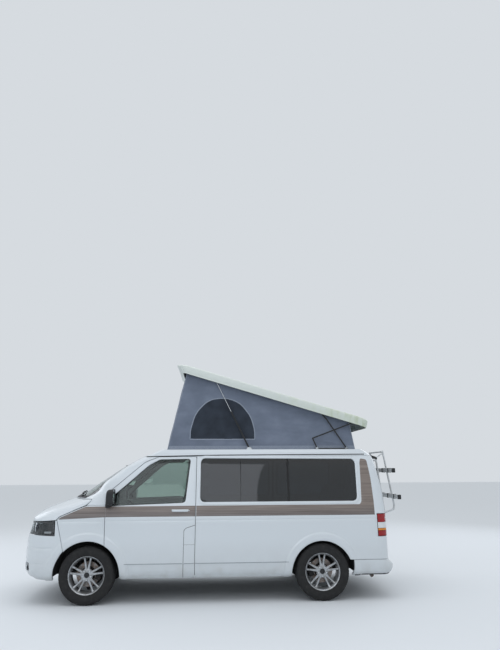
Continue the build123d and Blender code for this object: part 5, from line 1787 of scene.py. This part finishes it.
def tent_wall(along, z, side):
    """How far the cloth stands out from its flat wall. side is left, right, front or rear."""
    low = TENT_LOW
    wave = 2.2 * np.sin(along / 140 + z / 260) + 1.4 * np.sin(along / 61 - z / 95)
    wave = wave + np.sin(along / 33 + z / 47)
    out = wave * 1.1
    if side in ("left", "right"):
        x = along if side == "left" else along * 0.97 - 30
        for start, end, width, height in CREASES:
            out = out + crease(x, z, start, end, width, height)
        window = np.hypot((x + 46) / 450, np.maximum(z - 2032, 0) / 560)
        ring = np.exp(-((window - 1.03) / 0.028) ** 2) * (z > 2026)
        out = out * (1 - 0.6 * (window < 1.0) * (z > 2032)) + 3.0 * ring
        out = out + 2.5 * np.exp(-((z - 2020) / 9) ** 2) * (np.abs(x + 46) < 460)
        top = tent_top(x)
    else:
        top = TENT_FRONT_TOP if side == "front" else TENT_REAR_TOP
        out = out + 3.0 * np.exp(-((np.abs(along) - 380) / 10) ** 2)
    edge = ease(z, low, low + 70) * (1 - ease(z, top - 90, top))
    return out * edge + 5.0 * ease(z, low, low + 60) * (1 - ease(z, top - 200, top)) * 0.6


# Plan of the tent: its corners' radius, half its width, and the rows of its skin from foot to top
TENT_CORNER, TENT_SIDE, TENT_ROWS = 34, TENT_HALF - 4, 72


def tent_stations():
    """Places round the plan: lower x, upper x, y, normal, wall, and the run along an end wall."""
    found = []

    def side_run(shares, sign, side):
        """Stations along a side wall."""
        for t in shares:
            low, high = (front + (rear - front) * t for front, rear in zip(TENT_FRONT, TENT_REAR))
            found.append((low, high, sign * TENT_SIDE, (0, sign), side, None))

    def end_run(shares, ends, way, side):
        """Stations across the front or the rear wall."""
        for t in shares:
            y = TENT_SIDE - 2 * TENT_SIDE * t
            found.append((*ends, y, (way, 0), side, y))

    def corner_run(start, ends, way, sign):
        """Stations round a quarter of a circle between two walls."""
        for turn in np.linspace(start, start + math.pi / 2, 7)[1:-1]:
            normal = (math.cos(turn), math.sin(turn))
            shift = way * TENT_CORNER * (abs(normal[0]) - 1)
            y = sign * (TENT_SIDE - TENT_CORNER * (1 - abs(normal[1])))
            found.append((ends[0] + shift, ends[1] + shift, y, normal, "corner", None))

    side_run(np.linspace(0.014, 0.986, 160), 1, "left")
    corner_run(math.pi / 2, TENT_REAR, -1, 1)
    end_run(np.linspace(0.03, 0.97, 60), TENT_REAR, -1, "rear")
    corner_run(math.pi, TENT_REAR, -1, -1)
    side_run(np.linspace(0.986, 0.014, 160), -1, "right")
    corner_run(-math.pi / 2, TENT_FRONT, 1, -1)
    end_run(np.linspace(0.97, 0.03, 60), TENT_FRONT, 1, "front")
    corner_run(0, TENT_FRONT, 1, 1)
    return found


def tent_form():
    """The tent's skin as one closed sheet round its four walls, thin and double sided."""
    stations = tent_stations()
    grid = []
    for x_low, x_high, y, normal, side, along in stations:
        t = np.linspace(0, 1, TENT_ROWS)
        z = TENT_LOW + (tent_top(x_high) - TENT_LOW) * t
        x = x_low + (x_high - x_low) * t
        out = np.zeros(TENT_ROWS)
        if side != "corner":
            out = tent_wall(x if along is None else np.full(TENT_ROWS, along), z, side)
        grid.append(np.column_stack([x + normal[0] * out, y + normal[1] * out, z]))
    grid = np.array(grid)
    normals = np.array([(*normal, 0.0) for _, _, _, normal, _, _ in stations])
    inner = grid - normals[:, None, :] * 1.6
    rounds = len(grid)
    total = rounds * TENT_ROWS
    faces = []
    for i in range(rounds):
        here, after = i * TENT_ROWS, (i + 1) % rounds * TENT_ROWS
        for k in range(TENT_ROWS - 1):
            a, b, c, d = here + k, after + k, after + k + 1, here + k + 1
            faces += [(a, b, c, d), (total + d, total + c, total + b, total + a)]
        for k in (0, TENT_ROWS - 1):
            faces.append((here + k, total + here + k, total + after + k, after + k))
    points = np.vstack([grid.reshape(-1, 3), inner.reshape(-1, 3)])
    return outward(new_object("tent_skin", points, faces, CLOTH))


def wall_patch(name, rows, side, out, thickness, material, holes=(), spacing=38):
    """A flat patch of cloth or netting on a side wall, following its folds."""
    loops = [trace(r, step=14) for r in [rows] + list(holes)]
    low, high = loops[0].min(axis=0), loops[0].max(axis=0)
    grid = square_grid(np.arange(low[0], high[0], spacing), np.arange(low[1], high[1], spacing))
    flat, faces, _ = filled(loops, grid[is_within(grid, loops)])
    sign = 1 if side == "left" else -1
    wall = TENT_SIDE + tent_wall(flat[:, 0], flat[:, 1], side)
    outer = np.column_stack([flat[:, 0], sign * (wall + out), flat[:, 1]])
    inner = np.column_stack([flat[:, 0], sign * (wall + out - thickness), flat[:, 1]])
    total = len(flat)
    quads = [tuple(f) for f in faces] + [tuple(total + i for i in f[::-1]) for f in faces]
    runs = {(f[i], f[(i + 1) % 3]) for f in faces.tolist() for i in range(3)}
    quads += [(b, a, total + a, total + b) for a, b in sorted(runs) if (b, a) not in runs]
    return outward(new_object(name, np.vstack([outer, inner]), quads, material))


tent = tent_form()
cloth_pieces = []
for side in ("left", "right"):
    netting = wall_patch(f"tent_window_{side}", HALF_MOON, side, 1.4, 1.2, NETTING)
    hem = wall_patch(f"tent_hem_{side}", grown(HALF_MOON, 11), side, 2.6, 2.6, SEAM, [grown(HALF_MOON, -3)],
                     60)
    foot = [(700, 1891, 4), (688, 1940, 4), (-1892, 1940, 4), (-1900, 1891, 4)]
    band = wall_patch(f"tent_foot_{side}", foot, side, 1.6, 1.4, SEAM, (), 60)
    cloth_pieces += [netting, hem, band]
for x_low, x_high, y, label in ((-1906, -1831, 707, "rear_left"), (-1906, -1831, -707, "rear_right"),
                                (711, 458, 707, "front_left"), (711, 458, -707, "front_right")):
    x_low, x_high = x_low + (3 if x_low < 0 else -6), x_high + (3 if x_high < 0 else -6)
    shares = np.linspace(0, 1, 24)
    rise = tent_top(x_high) - TENT_LOW - 8
    path = [(x_low + (x_high - x_low) * t, y * 0.988, TENT_LOW + 2 + rise * t) for t in shares]
    cloth_pieces.append(drawn(f"tent_piping_{label}", path, 5, SEAM, 10))
for thing in [tent] + cloth_pieces:
    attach(thing, "body")
    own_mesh(thing)
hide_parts("canvas")

# Pieces that the solids already show, with their finishes
def dress(node, material):
    """A node of the solids shown as it is, in one finish."""
    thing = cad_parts[node]
    for one in thing.material_slots:
        one.link = "OBJECT"
        one.material = material


for node, material in (
    ("floor_pan", UNDERSEAL), ("wheel_houses", UNDERSEAL), ("fixed_roof", PAINT), ("roof_arms", BLACK_COAT),
    ("roof_links", BLACK_COAT), ("roof_bars", BLACK_COAT), ("roof_cranks", BLACK_COAT),
    ("strut_tubes", BLACK_COAT), ("strut_rods", STEEL), ("engine_block", IRON), ("front_axle", IRON),
    ("rear_axle", IRON), ("exhaust", PIPE_STEEL), ("fuel_tank", TRIM), ("knuckle_left", IRON),
    ("knuckle_right", IRON), ("bike_carrier", WHITE_COAT),
):
    dress(node, material)

# Roof edge: the black gutter, the linkage's foot plates with their bolts, and the struts' brackets
for sign, side_name in sides():
    flap_line(f"gutter_{side_name}", [(978, 1795), (0, 1812), (-2002, 1819)], 12, sign, "body", RUBBER)
    bits = [pressed("foot_plate", oblong(-1335, -1800, 1888.5, 1894, 1), "side", sign * 724, sign * 781,
                    BLACK_COAT, 1),
            pressed("foot_rail", oblong(-1335, -1800, 1890, 1905, 3), "side", sign * 716, sign * 722,
                    BLACK_COAT, 1),
            hexagons("foot_bolts", [((x, sign * 729, 1894), 1) for x in (-1400, -1560, -1720)], "z", 6, 5,
                     STEEL)]
    ride_for(joined(f"linkage_foot_{side_name}", bits), "body", None)
    heads = [hexagons("head", [((x, sign * y, 1906), sign)], "y", 9, 5, STEEL)
             for x, y in ((-1773, 753), (-1356, 779))]
    ride_for(joined(f"pivot_heads_{side_name}", heads), "body", None)
    rows = [(-452, 1889, 2), (-436, 1918, 12), (-392, 1918, 12), (-374, 1889, 2)]
    foot = pressed("strut_foot", rows, "side", sign * 764, sign * 768, WHITE_COAT, 1)
    base = pressed("strut_base", oblong(-452, -374, 1888.5, 1892, 1), "side", sign * 740, sign * 768,
                   WHITE_COAT, 0.8)
    ride_for(joined(f"strut_bracket_{side_name}", [foot, base]), "body", None)

# Scuttle and wipers, then the tailgate's wiper, grip and high stop lamp, and the two blank plates
scuttle_line = nose_chart(both_ends([(758, 1266, 4), (752, 1288, 4)]))
scuttle = skin_panel("scuttle", scuttle_line, TRIM, depth=6, lift=4, roll=2, spacing=60)


def on_face(rows, lift, rear=False):
    """Points on the front's or the tail's skin at given half widths and heights, lifted off it."""
    shares = np.array([share_from(y, z, 1, rear=rear) for y, z in rows])
    return skin_point(shares, np.array([z for _, z in rows]), lift)[0]


wiper_bits = [scuttle]
for k, (pivot, tip) in enumerate(((600, -10), (-60, -660))):
    ys = np.linspace(pivot - 70, tip, 22)
    blade = [(y, 1300 + 17 * (1 - (2 * i / 21 - 1) ** 2) + i * 0.9) for i, y in enumerate(ys)]
    wiper_bits.append(drawn(f"wiper_blade_{k}", on_face(blade, 11), 5, RUBBER, 8, flat=8))
    arm_rows = [(pivot + 0.58 * (tip - pivot) * t, 1283 + 38 * t) for t in np.linspace(0, 1, 12)]
    wiper_bits.append(drawn(f"wiper_arm_{k}", on_face(arm_rows, 18), 6, TRIM, 10, flat=4))
    boss = tuple(on_face([(pivot, 1281)], 2)[0])
    wiper_bits.append(turned(f"wiper_boss_{k}", [(0.5, 22), (13, 20), (15, 0), (0.5, 0)], boss, TRIM, 24,
                             "z"))
ride_for(joined("wipers", wiper_bits))

blade = [(y, 1262 + 10 * math.sin((y + 40) / 420 * 3)) for y in np.linspace(420, 20, 16)]
tail_bits = [drawn("rear_wiper_blade", on_face(blade, 9, True), 5, RUBBER, 8, flat=8)]
arm_rows = [(0, 1230), (60, 1238), (140, 1252), (220, 1266)]
tail_bits.append(drawn("rear_wiper_arm", on_face(arm_rows, 15, True), 6, TRIM, 8))
boss = tuple(on_face([(0, 1230)], 4, True)[0])
tail_bits.append(turned("rear_wiper_boss", [(0.5, -24), (18, -20), (22, 4), (0.5, 4)], boss, TRIM, 24, "x"))
grip = tail_chart(oblong(150, -150, 846, 884, 14))
tail_bits.append(skin_panel("tailgate_grip", grip, TRIM, depth=14, lift=12, roll=5, spacing=40))
ride_for(joined("tailgate_trim", tail_bits), "tailgate")
stop_line = tail_chart(oblong(160, -160, 1770, 1784, 5))
third_lamp = skin_panel("high_stop_lamp", stop_line, RED, depth=10, lift=4, roll=2, spacing=40)
ride_for(third_lamp, "tailgate", None)
rear_plate_x = float(on_face([(0, 760)], 0, True)[0][0])
blank_plate("rear_plate", rear_plate_x - 4, 760, -1, "tailgate")
blank_plate("front_plate", 2534, 700, 1, "body")

# Carrier: end caps and straps on its rails, the hinge plates at its top, and its foot pads
caps = []
for x, z in ((-2447, 1600), (-2505, 1240)):
    for sign in (1, -1):
        rows = oblong(x - 40, x + 7, z - 31, z + 31, 8)
        caps.append(pressed("rail_cap", rows, "side", sign * 604, sign * 626, TRIM, 3))
    for y in (-430, -150, 150, 430):
        rows = oblong(x - 40.5, x + 8, z - 32, z + 32, 4)
        caps.append(pressed("rail_strap", rows, "side", y - 13, y + 13, RUBBER, 1))
HINGE = [
    (-2178, 1832, 10), (-2300, 1795, 12), (-2322, 1770, 12), (-2316, 1752, 8), (-2286, 1764, 10),
    (-2178, 1800, 10),
]
for sign in (1, -1):
    caps.append(pressed("carrier_hinge", HINGE, "side", sign * 312, sign * 350, BLACK_COAT, 2))
    for z in (1740, 1120):
        place = (float(on_face([(sign * 330, z)], 0, True)[0][0]), sign * 330, z)
        pad = [(0.5, -2), (24, -2), (26, 3), (20, -12), (0.5, -12)]
        caps.append(turned("foot_pad", pad, place, RUBBER, 28, "x"))
ride_for(joined("carrier_fittings", caps), "tailgate")

# Cab: dashboard with its hood, console, vents and gear lever, and the inner mirror
DASH = [(1262, 925, 40), (1298, 1092, 60), (1480, 1128, 50), (1512, 1128, 0), (1512, 880, 0), (1335, 880, 50)]
HOOD = [(1262, 1060, 20), (1288, 1126, 30), (1430, 1132, 40), (1430, 1080, 10)]
CONSOLE = [(1186, 726, 10), (1230, 900, 30), (1300, 1060, 30), (1440, 1060, 10), (1440, 726, 10)]
dash_body = pressed("dash_body", DASH, "side", -806, 806, TRIM, 14)
hood = pressed("dash_hood", HOOD, "side", 250, 560, TRIM, 12)
console_block = pressed("dash_console", CONSOLE, "side", -104, 104, TRIM, 10)
cab_bits = [dash_body, hood, console_block]
for y in (-690, -250, 190, 690):
    for k in range(4):
        z = 1012 + k * 13
        slat = [(1262, z, 1), (1258, z + 5, 1), (1300, z + 5, 1), (1300, z, 1)]
        cab_bits.append(pressed("vent_slat", slat, "side", y - 55, y + 55, RUBBER, 0.5))
for low, high in ((930, 985), (860, 900)):
    face = [(1212 + (low - 800) * 0.35, low, 2), (1212 + (high - 800) * 0.35, high, 2), (1330, high, 2),
            (1330, low, 2)]
    cab_bits.append(pressed("radio_face", face, "side", -86, 86, RUBBER, 2))
cab_bits.append(drawn("gear_lever", [(1200, 0, 800), (1180, 0, 850), (1172, 0, 885)], 9, STEEL, 14))
KNOB = [(0.5, 28), (15, 24), (21, 6), (18, -10), (0.5, -14)]
cab_bits.append(turned("gear_knob", KNOB, (1170, 0, 898), TRIM, 28, "z"))
ride_for(joined("dashboard_made", cab_bits), "body", "dashboard")
inner_mirror = pressed("inner_mirror", oblong(120, -120, -30, 30, 26), "end", 0, 22, TRIM, 6)
inner_mirror.data.transform(Matrix.Translation((1330 * MM, 0, 1660 * MM)))
ride_for(inner_mirror)

# The steering wheel about its own axis: its grip is a ring, then come its pad, column and three spokes
GRIP_RADIUS, GRIP_TUBE = 188, 15
turns = np.linspace(0, 2 * math.pi, 19)
grip = [(GRIP_RADIUS + GRIP_TUBE * math.cos(t), GRIP_TUBE * math.sin(t)) for t in turns[:-1]]
grip.append(grip[0])
PAD = [(0.5, 30), (52, 26), (70, 16), (74, 2), (60, -8), (0.5, -8)]
COLUMN = [(0.5, -6), (34, -8), (30, -60), (26, -124), (0.5, -126)]
wheel_bits = [turned("wheel_grip", grip, (0, 0, 0), TRIM, 72, "z")]
wheel_bits.append(turned("wheel_pad", PAD, (0, 0, 0), TRIM, 48, "z"))
wheel_bits.append(turned("wheel_column", COLUMN, (0, 0, 0), TRIM, 32, "z"))
for turn in (math.pi / 2, math.pi, math.pi * 1.5):
    path = [(math.cos(turn) * r, math.sin(turn) * r, 4 - 2 * (r > 120)) for r in (40, 90, 140, 186)]
    wheel_bits.append(drawn("wheel_spoke", path, 15, TRIM, 14, flat=7))
steering = joined("steering_wheel_made", wheel_bits)
column_rake = Matrix.Rotation(math.radians(-40), 4, "Y")
steering.data.transform(Matrix.Translation((1.130, 0.400, 1.090)) @ column_rake)
ride_for(steering, "steering_wheel", "steering_wheel")

# Seats: foam blown up under its cover, with piped seams and sewn channels
# Voxels of the foam's remesh, kept coarse so that the whole stays under a million triangles
FOAM_VOXEL_MM = 16.0


def stuffed(name, rows, low, high, cap_mm, channels):
    """A foam cushion from a side outline: its cover is inflated, capped, and sewn down along channels."""
    thing = pressed(name, grown(rows, -6), "side", low + 6, high - 6, SEAT_CLOTH, 16)
    thing.modifiers["rounding"].segments = 3
    block = joined(f"{name}_block", [thing])
    remesh = block.modifiers.new("remesh", "REMESH")
    remesh.mode = "VOXEL"
    remesh.voxel_size = FOAM_VOXEL_MM * MM
    block = joined(f"{name}_fine", [block])
    start = np.array([v.co for v in block.data.vertices])
    cloth = block.modifiers.new("cloth", "CLOTH")
    cloth.settings.use_pressure = True
    cloth.settings.uniform_pressure_force = 4
    cloth.settings.effector_weights.gravity = 0
    cloth.settings.quality = 3
    cloth.settings.mass = 0.3
    cloth.point_cache.frame_start = 1
    cloth.point_cache.frame_end = 20
    scene = bpy.context.scene
    for step in range(1, 21):
        scene.frame_set(step)
    graph = bpy.context.evaluated_depsgraph_get()
    swollen = block.evaluated_get(graph).to_mesh()
    end = np.array([v.co for v in swollen.vertices])
    block.evaluated_get(graph).to_mesh_clear()
    block.modifiers.remove(cloth)
    scene.frame_set(1)
    move = end - start
    size = np.linalg.norm(move, axis=1)
    move *= np.minimum(1, cap_mm * MM / np.maximum(size, 1e-9))[:, None]
    for vertex, point in zip(block.data.vertices, start + move):
        vertex.co = point
    fine = block.modifiers.new("subdivide", "SUBSURF")
    fine.levels = 1
    fine.render_levels = 1
    block = joined(name + "_made", [block])
    points = np.array([v.co for v in block.data.vertices]) / MM
    shift = np.zeros_like(points)
    box_low, box_high = points.min(axis=0), points.max(axis=0)
    axis = 2 if box_high[2] - box_low[2] > box_high[0] - box_low[0] else 0
    outwards = points - points.mean(axis=0)
    outwards[:, 1] = 0
    outwards /= np.maximum(np.linalg.norm(outwards, axis=1), 1e-6)[:, None]
    for at in channels:
        here = box_low[axis] + at * (box_high[axis] - box_low[axis])
        shift -= outwards * (5 * np.exp(-((points[:, axis] - here) / 9) ** 2))[:, None]
    for vertex, point in zip(block.data.vertices, (points + shift) * MM):
        vertex.co = point
    block.data.shade_smooth()
    return block


def piping(name, rows, low, high):
    """Round piping sewn along a cushion's two side seams."""
    line = trace(grown(rows, -5), step=24)
    line = np.vstack([line, line[:2]])
    runs = []
    for y in (low + 7, high - 7):
        runs.append(drawn(name, np.column_stack([line[:, 0], np.full(len(line), float(y)), line[:, 1]]), 4,
                          RUBBER, 8))
    return joined(name, runs)


SEAT_CUSHION = [(430, 700, 30), (415, 830, 50), (980, 850, 60), (985, 715, 45)]
SEAT_BACK = [(420, 790, 40), (300, 1420, 55), (395, 1440, 50), (540, 840, 40)]
HEADREST = [(292, 1440, 35), (285, 1625, 40), (370, 1640, 40), (385, 1440, 30)]
BENCH_CUSHION = [(-1640, 700, 30), (-1640, 850, 40), (-1030, 870, 60), (-1030, 720, 45)]
BENCH_BACK = [(-1640, 800, 30), (-1790, 1400, 60), (-1690, 1420, 50), (-1500, 850, 40)]
soft_pieces = []
for label, rows, low, high, cap_mm, channels in (
    ("seat_cushion", SEAT_CUSHION, 155, 645, 12, (0.35, 0.7)),
    ("seat_back", SEAT_BACK, 165, 635, 12, (0.25, 0.5, 0.75)),
    ("headrest", HEADREST, 270, 530, 10, ()), ("bench_cushion", BENCH_CUSHION, -560, 460, 14, (0.5,)),
    ("bench_back", BENCH_BACK, -560, 460, 12, (0.35, 0.68)),
):
    cushion = stuffed(label, rows, low, high, cap_mm, channels)
    cord_run = piping(f"{label}_piping", rows, low, high)
    soft_pieces.append((cushion, cord_run))
    if not label.startswith("bench"):
        soft_pieces.append((other_hand(cushion, f"{label}_right"),
                            other_hand(cord_run, f"{label}_piping_right")))
for cushion, cord_run in soft_pieces:
    ride_for(cushion, "body", "seats")
    ride_for(cord_run)
seat_bits = []
SEAT_BASE = [(486, 521, 10), (470, 712, 20), (940, 712, 20), (924, 521, 10)]
BENCH_BASE = [(-1610, 521, 10), (-1620, 715, 10), (-1090, 715, 10), (-1090, 521, 10)]
for y in (400, -400):
    seat_bits.append(pressed("seat_base", SEAT_BASE, "side", y - 195, y + 195, TRIM, 8))
    for shift in (-45, 45):
        post = [(352, y + shift, 1395), (345, y + shift, 1430), (338, y + shift, 1475)]
        seat_bits.append(drawn("headrest_post", post, 6, STEEL, 12))
    inwards = 1 if y < 0 else -1
    stalk = [(520, y + 225 * inwards, 720), (500, y + 232 * inwards, 860)]
    seat_bits.append(drawn("belt_stalk", stalk, 9, RUBBER, 10, flat=4))
seat_bits.append(pressed("bench_base", BENCH_BASE, "side", -535, 435, BOARD, 4))
ride_for(joined("seat_bases", seat_bits), "body", "seats")

# Living space: floor covering, kitchen unit with its doors, hob, sink and tap
mat = pressed("floor_covering", oblong(1160, -2120, 560, -560, 20), "plan", 520.5, 524, BOARD, 1)
ride_for(mat, "body", None)
WORKTOP_Z = 1130.5
kitchen_bits = [pressed("kitchen_carcass", oblong(-858, 148, 522, 1104, 2), "side", 508, 876, BOARD, 2),
                pressed("kitchen_top", oblong(-860, 150, 1106, 1130, 4), "side", 492, 878, BOARD, 4)]
for x0, x1 in ((-850, -520), (-512, -182), (-174, 140)):
    for low, high in ((540, 900), (910, 1092)):
        kitchen_bits.append(pressed("kitchen_door", oblong(x0, x1, low, high, 6), "side", 493, 507, BOARD, 2))
        knob = [(0.5, -8), (14, -7), (15, -1), (15, 2), (0.5, 2)]
        kitchen_bits.append(turned("kitchen_knob", knob, ((x0 + x1) / 2, 494, high - 30), STEEL, 24))
for x, radius in ((-640, 74), (-400, 62)):
    ring = [(radius - 22, 0), (radius - 20, 7), (radius, 7), (radius + 4, 0)]
    kitchen_bits.append(turned("hob_ring", ring, (x, 690, WORKTOP_Z), BLACK_COAT, 36, "z"))
SINK_RIM = [(128, 0), (128, 3), (146, 4), (152, 0)]
SINK_BOWL = [(0.5, -20), (90, -18), (126, 2), (128, 3), (90, -14), (0.5, -16)]
for name, rows in (("sink_rim", SINK_RIM), ("sink_bowl", SINK_BOWL)):
    kitchen_bits.append(turned(name, rows, (-120, 690, WORKTOP_Z), STEEL, 48, "z"))
TAP = [(-120, 838, 1130), (-120, 838, 1250), (-120, 826, 1282), (-120, 790, 1296), (-120, 740, 1290)]
kitchen_bits.append(drawn("sink_tap", TAP, 9, STEEL, 14))
ride_for(joined("kitchen_made", kitchen_bits), "body", "kitchen_unit")

# Floor, light and camera
def studio_floor():
    """Matt pale studio floor."""
    material, tree, shader = finish("studio_floor", "#DDE1E4", 0.9, IOR=1.3)
    shader.inputs["Specular IOR Level"].default_value = 0.1
    return material


floor_mesh = bpy.data.meshes.new("studio_floor")
floor_mesh.from_pydata([(-60, -60, -0.001), (60, -60, -0.001), (60, 60, -0.001), (-60, 60, -0.001)], [],
                       [(0, 1, 2, 3)])
floor_mesh.materials.append(studio_floor())
linked("studio_floor", floor_mesh)


def softbox(name, place, aim, width, height, power, colour):
    """A large soft lamp at a place, aimed at a point, in metres and watts."""
    lamp = bpy.data.lights.new(name, "AREA")
    lamp.shape = "RECTANGLE"
    lamp.size, lamp.size_y = width, height
    lamp.energy = power
    lamp.color = tint(colour)[:3]
    thing = linked(name, lamp)
    thing.location = place
    thing.rotation_euler = (Vector(aim) - Vector(place)).to_track_quat("-Z", "Y").to_euler()


softbox("sky_panel", (0.5, 2.0, 9.0), (0, 0, 1), 10, 8, 210, "#F6F9FF")
softbox("side_panel", (2.5, 9.5, 4.5), (0, 0, 1.2), 8, 4, 90, "#F2F6FF")
softbox("rear_panel", (-7.5, -6.0, 5.0), (0, 0, 1.2), 6, 4, 90, "#F2F6FF")
softbox("nose_panel", (8.0, -3.5, 4.5), (0, 0, 1.2), 5, 4, 80, "#F2F6FF")

world = bpy.data.worlds.new("pale_room")
bpy.context.scene.world = world
world.use_nodes = True
sky = world.node_tree
sky.nodes.clear()
path = add(sky, "ShaderNodeLightPath")
look = add(sky, "ShaderNodeTexCoord").outputs["Generated"]
rise = add(sky, "ShaderNodeSeparateXYZ", Vector=look).outputs["Z"]
shade = ramp(sky, add(sky, "ShaderNodeMapRange", Value=rise, From_Min=-0.25, From_Max=0.9).outputs["Result"],
             (0.0, "#8E9A9C"), (0.2, "#A9B5BB"), (0.3, "#D9E1E8"), (1.0, "#FAFCFF"))
room_light = add(sky, "ShaderNodeBackground", Color=shade, Strength=0.86)
seen = add(sky, "ShaderNodeBackground", Color=tint("#D6DBE0"), Strength=1.0)
mixed = add(sky, "ShaderNodeMixShader", _0=path.outputs["Is Camera Ray"], _1=room_light.outputs[0],
            _2=seen.outputs[0])
add(sky, "ShaderNodeOutputWorld", Surface=mixed.outputs[0])

scene = bpy.context.scene
scene.view_settings.view_transform = "Standard"
camera = linked("photo_camera", bpy.data.cameras.new("photo_camera"))
scene.camera = camera
camera.data.sensor_width = 36
camera.data.lens = 29.96
yaw, pitch, roll = math.radians(3.73), math.radians(14.98), math.radians(-0.3)
forward = Vector((-math.sin(yaw) * math.cos(pitch), -math.cos(yaw) * math.cos(pitch), math.sin(pitch)))
level = Vector((-math.cos(yaw), math.sin(yaw), 0))
upward = level.cross(forward)
right = level * math.cos(roll) + upward * math.sin(roll)
top = upward * math.cos(roll) - level * math.sin(roll)
camera.matrix_world = Matrix.Translation((0.064, 8.390, 1.618)) @ Matrix((right, top,
                                                                          -forward)).transposed().to_4x4()
